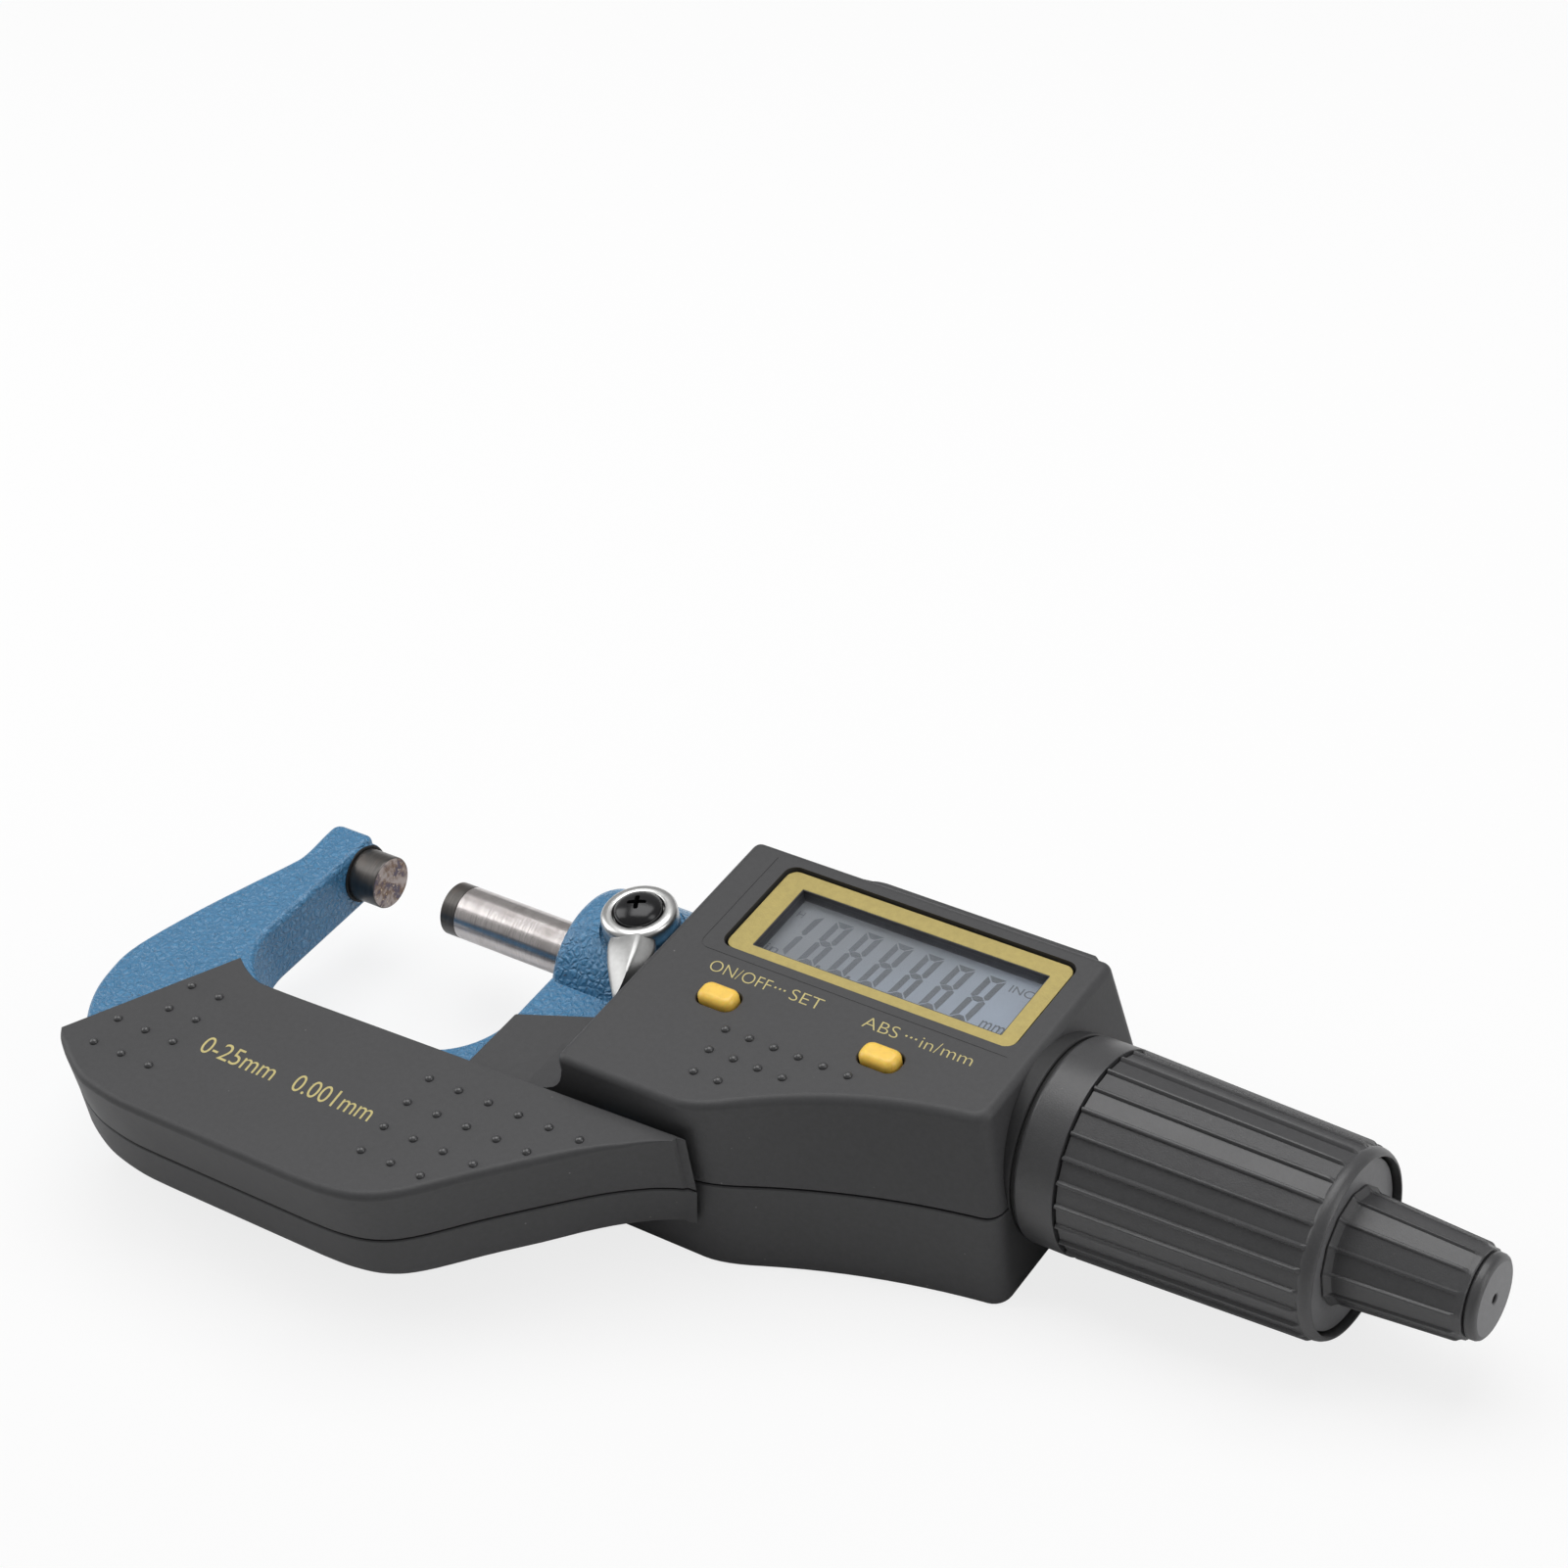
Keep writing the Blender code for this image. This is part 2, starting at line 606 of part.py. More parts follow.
fin.data.transform(Matrix.Translation((0, -RING_RADIUS * 0.72, fin_top))
                   @ Matrix.Rotation(LEVER_DROOP, 4, "X")
                   @ Matrix.Translation((0, RING_RADIUS * 0.72, -fin_top)))
join(lever, fin)
lever.data.transform(Matrix.Translation((LOCK_X, 0, 0)) @ Matrix.Rotation(LEVER_ANGLE, 4, "Z"))
soften(lever, 30)
set_origin(lever, (LOCK_X, 0, 0))
dome = [(seat_z + SEAT_GAP, 0.0), (seat_z + SEAT_GAP, LOCK_SCREW_RADIUS)]
for i in range(1, 6):
    a = radians(15 + 75 * i / 5)
    dome.append((RING_TOP_Z + LOCK_SCREW_DOME * sin(a), LOCK_SCREW_RADIUS * cos(a)))
lock_screw = turned("lock_screw", dome[:-1] + [(RING_TOP_Z + LOCK_SCREW_DOME, 0.0)], black_steel,
                    28, along="Z", place=(LOCK_X, 0, 0))
shank_low = pad_high + 0.001 + SEAT_GAP
join(lock_screw, rod("shank", shank_low, seat_z + 0.0005, LOCK_SHANK_RADIUS, steps=16,
                     collection=cutters, along="Z", place=(LOCK_X, 0, 0)))
for turn in range(2):
    arm, slit = (0.0012, 0.00025) if turn else (0.00025, 0.0012)
    cut(lock_screw, box("cross", (LOCK_X - arm, -slit, RING_TOP_Z + 0.0001),
                        (LOCK_X + arm, slit, RING_TOP_Z + 0.002), collection=cutters))
soften(lock_screw, 30)


def grip_outline():
    """The grip shells' outline, counter-clockwise from the left corner."""
    points = smooth_path([(-0.0124, -0.0432), (-0.0101, -0.0452), (-0.0043, -0.0476),
                          (0.0040, GRIP_FLOOR_Y)], 4)
    points += smooth_path([(0.0300, GRIP_FLOOR_Y), (0.0360, -0.0472), (0.0404, -0.0445),
                           (0.0462, -0.0384), (0.0542, -0.0311), (0.0606, -0.0266),
                           (GRIP_TIP_X, -0.0252)], 3)
    points += [(GRIP_TIP_X - 0.0004, -0.0249)]
    points += smooth_path([(0.0060, -0.0267), (0.0030, -0.0265), (0.0006, -0.0254),
                           (-0.0008, -0.0242)], 3)
    return points


frame_room = inset(frame_outline(), -SEAT_GAP)
for name, low, high, edge_z, edge in (
        ("grip_front", SEAM_GAP / 2, GRIP_TOP_Z, GRIP_TOP_Z, GRIP_EDGE),
        ("grip_back", GRIP_BACK_Z, -SEAM_GAP / 2, GRIP_BACK_Z, GRIP_BACK_EDGE)):
    shell = plate(name, [grip_outline()], low, high, dark_plastic)
    round_edges(shell, lambda co: abs(co.z - edge_z) < 1e-6, edge)
    room = FRAME_HALF + SEAT_GAP
    cut(shell, plate("pocket", [frame_room], -room, room, collection=cutters))
    for screw_x, screw_y in GRIP_SCREWS:
        if name == "grip_front":
            cut(shell, hole(screw_x, screw_y, 0.0, GRIP_TOP_Z - 0.0012, SCREW_HOLE))
        else:
            sunk = GRIP_BACK_Z + SCREW_SINK + SCREW_HEAD_HEIGHT + SEAT_GAP
            cut(shell, hole(screw_x, screw_y, GRIP_BACK_Z - 0.001, 0.0, SCREW_HOLE),
                hole(screw_x, screw_y, GRIP_BACK_Z - 0.001, sunk, SCREW_HEAD_RADIUS + SEAT_GAP))
    soften(shell)


def housing_outline(level, wall=0.0):
    """The housing's outline at a level from 0 at the seam to 1 at the display face.

    With a wall thickness it is the outline of the hollow inside that wall.
    """
    left = HOUSING_LEFT_X + DRAFT_LEFT * level + wall
    right = HOUSING_RIGHT_X - DRAFT_RIGHT * level - wall
    floor = HOUSING_FLOOR_Y + DRAFT_FLOOR * level + wall
    end_y = HOUSING_END_Y + DRAFT_END * level + wall
    top = HOUSING_TOP_Y - wall
    end_radius = max(END_RADIUS - wall, ROOM_RADIUS)
    top_radius = max(END_RADIUS * 0.5 - wall, ROOM_RADIUS)
    points = [(left, floor)]
    points += sagged((HOUSING_CORNER_X, floor), (right - end_radius, end_y), ARC_SAG, 8)
    points += arc((right - end_radius, end_y + end_radius), end_radius, -60, 0, 3)
    points += arc((right - top_radius, top - top_radius), top_radius, 0, 90, 3)
    points.append((left, top))
    return points


def flange_outline():
    """The low flange beside the web, which the grip overlaps."""
    inner = HOUSING_LEFT_X + HOUSING_WALL
    return [(FLANGE_LEFT_X, FLANGE_FLOOR_Y), (inner, FLANGE_FLOOR_Y),
            (inner, FLANGE_LEFT_Y + FLANGE_SLOPE * (inner - FLANGE_LEFT_X)),
            (FLANGE_LEFT_X, FLANGE_LEFT_Y)]


def housing_room(side, level):
    """The hollow inside a housing shell."""
    deep = side * (HOUSING_TOP_Z if side > 0 else -HOUSING_BACK_Z) - side * HOUSING_WALL
    foot = housing_outline(0, HOUSING_WALL)
    head = housing_outline(level, HOUSING_WALL)
    low, high = sorted((-side * 0.001, deep))
    if side > 0:
        return drafted("room", foot, head, low, high, collection=cutters)
    return drafted("room", head, foot, low, high, collection=cutters)


web_room = FRAME_HALF + SEAT_GAP
for side, name in ((1, "housing_front"), (-1, "housing_back")):
    past_seam = -side * SEAM_GAP
    if side > 0:
        shell = drafted(name, housing_outline(0), housing_outline(1), past_seam,
                        HOUSING_TOP_Z, dark_plastic)
        face_z = HOUSING_TOP_Z
    else:
        shell = drafted(name, housing_outline(0), housing_outline(0), HOUSING_BACK_Z,
                        past_seam, dark_plastic)
        face_z = HOUSING_BACK_Z
    round_edges(shell, lambda co: abs(co.z - face_z) < 1e-6, HOUSING_EDGE)
    flange_low, flange_high = sorted((side * (web_room - FLANGE_HEIGHT),
                                      side * (web_room + FLANGE_HEIGHT)))
    join(shell, plate("flange", [flange_outline()], flange_low, flange_high,
                      collection=cutters),
         rod("boss", BOSS_START_X, BOSS_END_X, BOSS_RADIUS, steps=40, collection=cutters))
    cut(shell, housing_room(side, 1.0 if side > 0 else 0.0))
    for screw_x, screw_y in HOUSING_SCREWS:
        post_top = side * (abs(face_z) - HOUSING_WALL * 0.5)
        low, high = sorted((past_seam * 2, post_top))
        join(shell, hole(screw_x, screw_y, low, high, BOSS_PIN))
        if side > 0:
            cut(shell, hole(screw_x, screw_y, -0.001, SCREW_REACH_Z + 0.0005, SCREW_HOLE))
        else:
            sunk = HOUSING_BACK_Z + SCREW_SINK + SCREW_HEAD_HEIGHT + SEAT_GAP
            cut(shell, hole(screw_x, screw_y, HOUSING_BACK_Z - 0.001, 0.001, SCREW_HOLE),
                hole(screw_x, screw_y, HOUSING_BACK_Z - 0.001, sunk,
                     SCREW_HEAD_RADIUS + SEAT_GAP))
    cut(shell,
        box("web", (FLANGE_LEFT_X - 0.002, FLANGE_FLOOR_Y - 0.002, -web_room),
            (TONGUE_END_X + SEAT_GAP, TONGUE_TOP_Y + SEAT_GAP, web_room), collection=cutters),
        rod("hub_room", FLANGE_LEFT_X - 0.002, HUB_END_X + SEAT_GAP, HUB_RADIUS + SEAT_GAP,
            steps=36, collection=cutters),
        rod("bearing_room", BEARING_START_X - 0.002, BOSS_END_X + 0.001,
            BEARING_RADIUS + SEAT_GAP, steps=32, collection=cutters),
        box("lug_room", (BATTERY_X - BATTERY_RADIUS - COVER_LUG - SEAT_GAP * 3,
                         HOUSING_TOP_Y - HOUSING_WALL - 0.001,
                         -BATTERY_RADIUS - SEAT_GAP),
            (BATTERY_X + BATTERY_RADIUS + COVER_LUG + SEAT_GAP * 3, HOUSING_TOP_Y + 0.001,
             BATTERY_RADIUS + SEAT_GAP), collection=cutters))
    if side > 0:
        bezel_room = rounded_box(BEZEL_LEFT_X - SEAT_GAP, BEZEL_FLOOR_Y - SEAT_GAP,
                                 BEZEL_RIGHT_X + SEAT_GAP, BEZEL_TOP_Y + SEAT_GAP, BEZEL_CORNER)
        cut(shell,
            plate("bezel_room", [bezel_room], BEZEL_SEAT_Z, HOUSING_TOP_Z + 0.001,
                  collection=cutters),
            box("window_room", (WINDOW_LEFT_X - SEAT_GAP, WINDOW_FLOOR_Y - SEAT_GAP,
                                LCD_TOP_Z - 0.001),
                (WINDOW_RIGHT_X + SEAT_GAP, WINDOW_TOP_Y + SEAT_GAP, HOUSING_TOP_Z + 0.001),
                collection=cutters))
        for button_x in BUTTON_XS:
            grow = RUN_GAP
            slot = rounded_box(button_x - BUTTON_LENGTH / 2 - grow,
                               BUTTON_Y - BUTTON_WIDTH / 2 - grow,
                               button_x + BUTTON_LENGTH / 2 + grow,
                               BUTTON_Y + BUTTON_WIDTH / 2 + grow, BUTTON_WIDTH / 2 + grow * 0.9, 6)
            cut(shell, plate("slot", [slot], LCD_TOP_Z - 0.001, HOUSING_TOP_Z + 0.001,
                             collection=cutters))
    other_low, other_high = sorted((side * SEAM_GAP / 2, -side * 0.03))
    cut(shell, box("other_half", (FLANGE_LEFT_X - 0.01, -0.05, other_low),
                   (BOSS_END_X + 0.01, 0.05, other_high), collection=cutters))
    soften(shell)

# Display: gold frame, clear window, liquid crystal panel and its board
bezel = plate("display_bezel",
              [rounded_box(BEZEL_LEFT_X, BEZEL_FLOOR_Y, BEZEL_RIGHT_X, BEZEL_TOP_Y, BEZEL_CORNER),
               rounded_box(WINDOW_LEFT_X, WINDOW_FLOOR_Y, WINDOW_RIGHT_X, WINDOW_TOP_Y, 0.0002, 1)],
              BEZEL_SEAT_Z + SEAT_GAP, BEZEL_SEAT_Z + SEAT_GAP + BEZEL_THICKNESS, gold_print)
window = box("display_window", (WINDOW_LEFT_X, WINDOW_FLOOR_Y, LCD_TOP_Z + SEAT_GAP),
             (WINDOW_RIGHT_X, WINDOW_TOP_Y, LCD_TOP_Z + SEAT_GAP + WINDOW_THICKNESS), clear)
lcd = box("lcd_panel", (WINDOW_LEFT_X - LCD_MARGIN, WINDOW_FLOOR_Y - LCD_MARGIN,
                        LCD_TOP_Z - LCD_THICKNESS),
          (WINDOW_RIGHT_X + LCD_MARGIN, WINDOW_TOP_Y + LCD_MARGIN, LCD_TOP_Z), lcd_grey)
board = box("circuit_board", (BOARD_LEFT_X, BOARD_FLOOR_Y, BOARD_TOP_Z - BOARD_THICKNESS),
            (BOARD_RIGHT_X, BOARD_TOP_Y, BOARD_TOP_Z), board_green)

# Buttons, each a rounded key with a flange under the wall, over a switch on the board
for name, switch, button_x in zip(("button_power", "button_mode"),
                                  ("switch_power", "switch_mode"), BUTTON_XS):
    key_low = LCD_TOP_Z - BUTTON_FLANGE
    key_high = HOUSING_TOP_Z + BUTTON_HEIGHT
    half_x, half_y = BUTTON_LENGTH / 2, BUTTON_WIDTH / 2
    key = plate(name, [rounded_box(button_x - half_x, BUTTON_Y - half_y, button_x + half_x,
                                   BUTTON_Y + half_y, half_y * 0.95, 6)], key_low, key_high, amber)
    round_edges(key, lambda co: co.z > key_high - 1e-6, BUTTON_EDGE)
    join(key, box("key_flange", (button_x - half_x - 0.0005, BUTTON_Y - half_y - 0.0005, key_low),
                  (button_x + half_x + 0.0005, BUTTON_Y + half_y + 0.0005, key_low + BUTTON_FLANGE),
                  collection=cutters))
    soften(key)
    set_origin(key, (button_x, BUTTON_Y, key_low))
    dome_top = key_low - BUTTON_TRAVEL - SEAT_GAP
    dome = rod(switch, BOARD_TOP_Z + BRAZE_GAP, dome_top, 0.0016, black_steel, 20,
               along="Z", place=(button_x, BUTTON_Y, 0))
    soften(dome)

# Battery cell behind its cover in the upper side wall
cell_y = HOUSING_TOP_Y - HOUSING_WALL - BATTERY_THICKNESS
battery = turned("battery", [(cell_y, 0.0), (cell_y, BATTERY_RADIUS * 0.6),
                             (cell_y + 0.0004, BATTERY_RADIUS * 0.6),
                             (cell_y + 0.0004, BATTERY_RADIUS),
                             (cell_y + BATTERY_THICKNESS, BATTERY_RADIUS),
                             (cell_y + BATTERY_THICKNESS, 0.0)], battery_steel, 32,
                 along="Y", place=(BATTERY_X, 0, 0))
soften(battery)
cover_low = HOUSING_TOP_Y + SEAM_GAP
cover_half = BATTERY_RADIUS + SEAT_GAP + COVER_LUG + COVER_REACH
cover = box("battery_cover", (BATTERY_X - cover_half, cover_low, COVER_FLOOR_Z),
            (BATTERY_X + cover_half, cover_low + COVER_THICKNESS, COVER_TOP_Z), dark_plastic)
round_edges(cover, lambda co: co.y > cover_low + COVER_THICKNESS - 1e-6, COVER_THICKNESS * 0.6)
for side in (-1, 1):
    lug_x = BATTERY_X + side * (BATTERY_RADIUS + SEAT_GAP + COVER_LUG / 2)
    join(cover, box("lug", (lug_x - COVER_LUG / 2, cover_low - COVER_LUG_DEPTH,
                            -BATTERY_RADIUS * 0.8),
                    (lug_x + COVER_LUG / 2, cover_low + COVER_THICKNESS * 0.5,
                     BATTERY_RADIUS * 0.8), collection=cutters))
soften(cover)
set_origin(cover, (BATTERY_X, cover_low, 0))
contact_y = cell_y - SEAT_GAP
contact = box("battery_contact", (BATTERY_X - 0.0020, contact_y - 0.0003, -BATTERY_RADIUS),
              (BATTERY_X + 0.0020, contact_y, BOARD_TOP_Z - BOARD_THICKNESS - SEAT_GAP), brass)

# Encoder plate around the spindle, standing on the back shell
stator = box("encoder_stator", (STATOR_X, -STATOR_HALF_WIDTH,
                                HOUSING_BACK_Z + HOUSING_WALL + SEAT_GAP),
             (STATOR_X + BOARD_THICKNESS, STATOR_HALF_WIDTH,
              BOARD_TOP_Z - BOARD_THICKNESS - SEAT_GAP), board_green)
cut(stator, rod("stator_hole", STATOR_X - 0.001, STATOR_X + 0.002, SPINDLE_RADIUS + RUN_GAP * 1.5,
                steps=32, collection=cutters))

# Thimble: turned core with collar and journal, ribbed sleeve and end disc
bearing = tube("thimble_bearing", BEARING_START_X, BEARING_END_X, BEARING_RADIUS,
               JOURNAL_RADIUS + RUN_GAP, brass)
soften(bearing)
grip_bore = TUBE_RADIUS + SEAT_GAP
grip_start = grip_bore + GRIP_START_WALL
grip_end = grip_bore + GRIP_END_WALL
collar_radius = grip_start + RIB_HEIGHT
core = turned("thimble_core",
              [(JOURNAL_START_X, 0.0), (JOURNAL_START_X, JOURNAL_RADIUS),
               (COLLAR_START_X, JOURNAL_RADIUS), (COLLAR_START_X, collar_radius - COLLAR_EDGE),
               (COLLAR_START_X + COLLAR_EDGE * 0.3, collar_radius - COLLAR_EDGE * 0.3),
               (COLLAR_START_X + COLLAR_EDGE, collar_radius), (COLLAR_END_X, collar_radius),
               (COLLAR_END_X, TUBE_RADIUS), (TUBE_END_X, TUBE_RADIUS),
               (TUBE_END_X, TUBE_RADIUS - TUBE_WALL), (DRIVE_END_X, TUBE_RADIUS - TUBE_WALL),
               (DRIVE_END_X, 0.0)], satin_grey, 40)
drive = rod("drive_bore", JOURNAL_START_X - 0.001, DRIVE_END_X + 0.001, SPINDLE_RADIUS + RUN_GAP,
            steps=32, collection=cutters)
for side in (-1, 1):
    flat_low, flat_high = sorted((side * (DRIVE_FLAT + RUN_GAP), side * 0.01))
    cut(drive, box("flat", (JOURNAL_START_X - 0.002, -0.01, flat_low),
                   (DRIVE_END_X + 0.002, 0.01, flat_high), collection=cutters))
cut(core, drive)
soften(core)
rotor = tube("encoder_rotor", ROTOR_X, ROTOR_X + ROTOR_THICKNESS, ENCODER_RADIUS,
             JOURNAL_RADIUS + SEAT_GAP, board_green)
soften(rotor)


def ribbed(name, sections, count, width_deg, mat):
    """A ribbed barrel along X, lofted through (x, radius, rib height) sections."""
    pitch = 2 * pi / count
    half_foot = radians(width_deg) / 2
    rings = []
    bm = bmesh.new()
    for x, radius, height in sections:
        ring = []
        for i in range(count):
            centre = i * pitch
            for offset, lift in ((-half_foot, 0), (-half_foot * 0.5, height),
                                 (half_foot * 0.5, height), (half_foot, 0)):
                a = centre + offset
                ring.append(bm.verts.new((x, (radius + lift) * cos(a), (radius + lift) * sin(a))))
        rings.append(ring)
    total = len(rings[0])
    for one, two in zip(rings, rings[1:]):
        for i in range(total):
            bm.faces.new((one[i], one[(i + 1) % total], two[(i + 1) % total], two[i]))
    bm.faces.new(rings[0])
    bm.faces.new(rings[-1])
    bmesh.ops.recalc_face_normals(bm, faces=bm.faces)
    mesh = bpy.data.meshes.new(name)
    bm.to_mesh(mesh)
    bm.free()
    return add_object(name, mesh, mat)


sleeve_grip = ribbed("thimble_grip", [(GRIP_START_X, grip_start, RIB_HEIGHT),
                                      (GRIP_END_X - RIB_RUN_OUT, grip_end, RIB_HEIGHT),
                                      (GRIP_END_X - GRIP_LIP * 1.2, grip_end, 0.0),
                                      (GRIP_END_X - GRIP_LIP * 0.35,
                                       grip_end - GRIP_LIP * 0.25, 0.0),
                                      (GRIP_END_X, grip_end - GRIP_LIP, 0.0)],
                     RIB_COUNT, RIB_WIDTH_DEG, satin_grey)
cut(sleeve_grip, rod("grip_bore", GRIP_START_X - 0.001, GRIP_END_X + 0.001, grip_bore, steps=40,
                     collection=cutters))
soften(sleeve_grip)
disc_x = GRIP_END_X - END_DISC_SINK - END_DISC_THICKNESS
disc_radius = grip_bore - END_DISC_GAP
end_disc = turned("thimble_end_disc",
                  [(disc_x, SHAFT_RADIUS + RUN_GAP), (disc_x, disc_radius),
                   (disc_x + END_DISC_THICKNESS - 0.0003, disc_radius),
                   (disc_x + END_DISC_THICKNESS, disc_radius - 0.0003),
                   (disc_x + END_DISC_THICKNESS, SHAFT_RADIUS + RUN_GAP)], disc_grey, 32)
soften(end_disc)

# Ratchet: ribbed knob on a shaft, click wheel and spring inside, cap over the end
knob_room = SPRING_RADIUS + SPRING_WIRE + SEAT_GAP
knob = ribbed("ratchet_knob", [(KNOB_START_X, KNOB_START_RADIUS - 0.0004, KNOB_RIB_HEIGHT),
                               (KNOB_START_X + 0.0004, KNOB_START_RADIUS, KNOB_RIB_HEIGHT),
                               (KNOB_END_X - 0.0003, KNOB_END_RADIUS, KNOB_RIB_HEIGHT),
                               (KNOB_END_X, KNOB_END_RADIUS - 0.0002, KNOB_RIB_HEIGHT * 0.5)],
              KNOB_RIBS, RIB_WIDTH_DEG * 2.2, satin_grey)
room_end = KNOB_START_X + 0.0080
cut(knob, rod("knob_bore", KNOB_START_X - 0.001, KNOB_END_X + 0.001, SHAFT_RADIUS + SEAT_GAP,
              steps=24, collection=cutters),
    rod("knob_room", KNOB_START_X - 0.001, room_end, knob_room, steps=24, collection=cutters))
soften(knob)
set_origin(knob, (KNOB_START_X, 0, 0))
shaft_end = KNOB_END_X
shaft = turned("ratchet_shaft", [(SHAFT_START_X, 0.0), (SHAFT_START_X, SHAFT_HEAD_RADIUS),
                                 (disc_x - RUN_GAP, SHAFT_HEAD_RADIUS),
                                 (disc_x - RUN_GAP, SHAFT_RADIUS), (shaft_end, SHAFT_RADIUS),
                                 (shaft_end, 0.0)], ground_steel, 24)
soften(shaft)
wheel_x = KNOB_START_X + SEAT_GAP
wheel = tube("click_wheel", wheel_x, wheel_x + 0.0012, knob_room - SEAT_GAP,
             SHAFT_RADIUS + SEAT_GAP, ground_steel, 24)
for i in range(CLICK_TEETH):
    tooth = box("notch", (wheel_x + 0.0007, SHAFT_RADIUS + 0.0006, -0.0003),
                (wheel_x + 0.002, knob_room + 0.001, 0.0003), collection=cutters)
    tooth.data.transform(Matrix.Rotation(2 * pi * i / CLICK_TEETH, 4, "X"))
    cut(wheel, tooth)
spring_low = wheel_x + 0.0012 + SEAT_GAP + SPRING_WIRE
spring_high = room_end - SEAT_GAP - SPRING_WIRE
coil = bpy.data.curves.new("ratchet_spring", "CURVE")
coil.dimensions = "3D"
coil.bevel_depth = SPRING_WIRE
coil.bevel_resolution = 0
coil.use_fill_caps = True
line = coil.splines.new("POLY")
coil_steps = SPRING_TURNS * COIL_POINTS
line.points.add(coil_steps)
for i, point in enumerate(line.points):
    a = 2 * pi * i / COIL_POINTS
    point.co = (spring_low + (spring_high - spring_low) * i / coil_steps,
                (SPRING_RADIUS) * cos(a), SPRING_RADIUS * sin(a), 1.0)
coil_shape = bpy.data.objects.new("ratchet_spring_line", coil)
parts.objects.link(coil_shape)
bpy.context.view_layer.update()
coil_mesh = bpy.data.meshes.new_from_object(
    coil_shape.evaluated_get(bpy.context.evaluated_depsgraph_get()))
bpy.data.objects.remove(coil_shape)
spring = add_object("ratchet_spring", coil_mesh, ground_steel)
edit(spring, lambda bm: (bmesh.ops.remove_doubles(bm, verts=bm.verts, dist=1e-6),
                         bmesh.ops.recalc_face_normals(bm, faces=bm.faces)))
cap_x = KNOB_END_X + SEAT_GAP
cap = turned("ratchet_cap", [(cap_x, 0.0), (cap_x, CAP_RADIUS),
                             (CAP_END_X - CAP_EDGE, CAP_RADIUS),
                             (CAP_END_X - CAP_EDGE * 0.3, CAP_RADIUS - CAP_EDGE * 0.3),
                             (CAP_END_X, CAP_RADIUS - CAP_EDGE), (CAP_END_X, CAP_HOLE_RADIUS),
                             (CAP_END_X - CAP_HOLE_DEPTH, CAP_HOLE_RADIUS),
                             (CAP_END_X - CAP_HOLE_DEPTH, 0.0)], satin_grey, 32)
soften(cap)

# Screws that hold the shells, heads sunk in the back
screws = [("housing_screw", HOUSING_SCREWS, HOUSING_BACK_Z, SCREW_REACH_Z),
          ("grip_screw", GRIP_SCREWS, GRIP_BACK_Z, GRIP_TOP_Z - 0.0012 - 0.0005)]
for family, places, face_z, reach in screws:
    for number, (screw_x, screw_y) in enumerate(places, 1):
        head_low = face_z + SCREW_SINK
        head_high = head_low + SCREW_HEAD_HEIGHT
        screw = turned(f"{family}_{number}",
                       [(head_low, 0.0), (head_low, SCREW_HEAD_RADIUS * 0.8),
                        (head_low + 0.0003, SCREW_HEAD_RADIUS), (head_high, SCREW_HEAD_RADIUS),
                        (head_high, SCREW_RADIUS), (reach, SCREW_RADIUS), (reach, 0.0)],
                       black_steel, 12, along="Z", place=(screw_x, screw_y, 0))
        for turn in range(2):
            arm, slit = (0.0009, 0.0002) if turn else (0.0002, 0.0009)
            cut(screw, box("cross", (screw_x - arm, screw_y - slit, head_low - 0.001),
                           (screw_x + arm, screw_y + slit, head_low + 0.0006),
                           collection=cutters))
        soften(screw)
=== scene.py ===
"""Looks of a digital outside micrometer that lies on its back.

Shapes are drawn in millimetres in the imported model's own frame, and each one is
brought to metres when it is put on its body. The origin is the centre of the
anvil's measuring face, +X runs along the spindle and +Z out of the display.
"""

from math import cos, pi, radians, sin, tan

import bmesh
import bpy
from mathutils import Matrix, Vector


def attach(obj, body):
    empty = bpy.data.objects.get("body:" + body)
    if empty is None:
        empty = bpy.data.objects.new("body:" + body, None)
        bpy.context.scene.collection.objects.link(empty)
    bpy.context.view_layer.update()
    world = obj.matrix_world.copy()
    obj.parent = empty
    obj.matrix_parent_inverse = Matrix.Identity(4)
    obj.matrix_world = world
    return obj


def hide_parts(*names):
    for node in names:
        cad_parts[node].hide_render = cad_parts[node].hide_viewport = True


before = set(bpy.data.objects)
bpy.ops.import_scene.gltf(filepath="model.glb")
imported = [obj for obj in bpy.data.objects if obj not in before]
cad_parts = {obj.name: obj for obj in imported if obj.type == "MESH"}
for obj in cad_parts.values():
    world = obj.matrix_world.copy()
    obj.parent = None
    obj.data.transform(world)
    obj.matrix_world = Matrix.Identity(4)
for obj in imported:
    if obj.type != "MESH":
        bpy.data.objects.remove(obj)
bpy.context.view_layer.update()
scene = bpy.context.scene

# Sizes in millimetres and angles in degrees. MERGE is how near points become one.
SPINDLE_R = 3.25
OPENING = 10.4
TIP_LENGTH = 2.1
FRAME_HALF = 4.0
HUB_R = 9.15
HUB_X = 31.4
THROAT_FLOOR = -24.0
LOCK_X = 40.1
LOCK_SEAT_Z = 7.9
RING_R = 4.5
RING_TOP = 11.5
GRIP_TOP = 8.0
GRIP_BACK = -6.2
HOUSING_TOP = 12.0
HOUSING_BACK = -12.5
HOUSING_WALL_Y = 15.6
SEAM = 0.12
LCD_Z = 9.9
BUTTON_X = (57.4, 78.85)
COLLAR_R = 11.82
RIB_COUNT = 26
RIB_PHASE = 83.5
RIB_HEIGHT = 0.40
KNOB_RIBS = 13
KNOB_PHASE = 82.0
MERGE = 0.0005


# Node trees

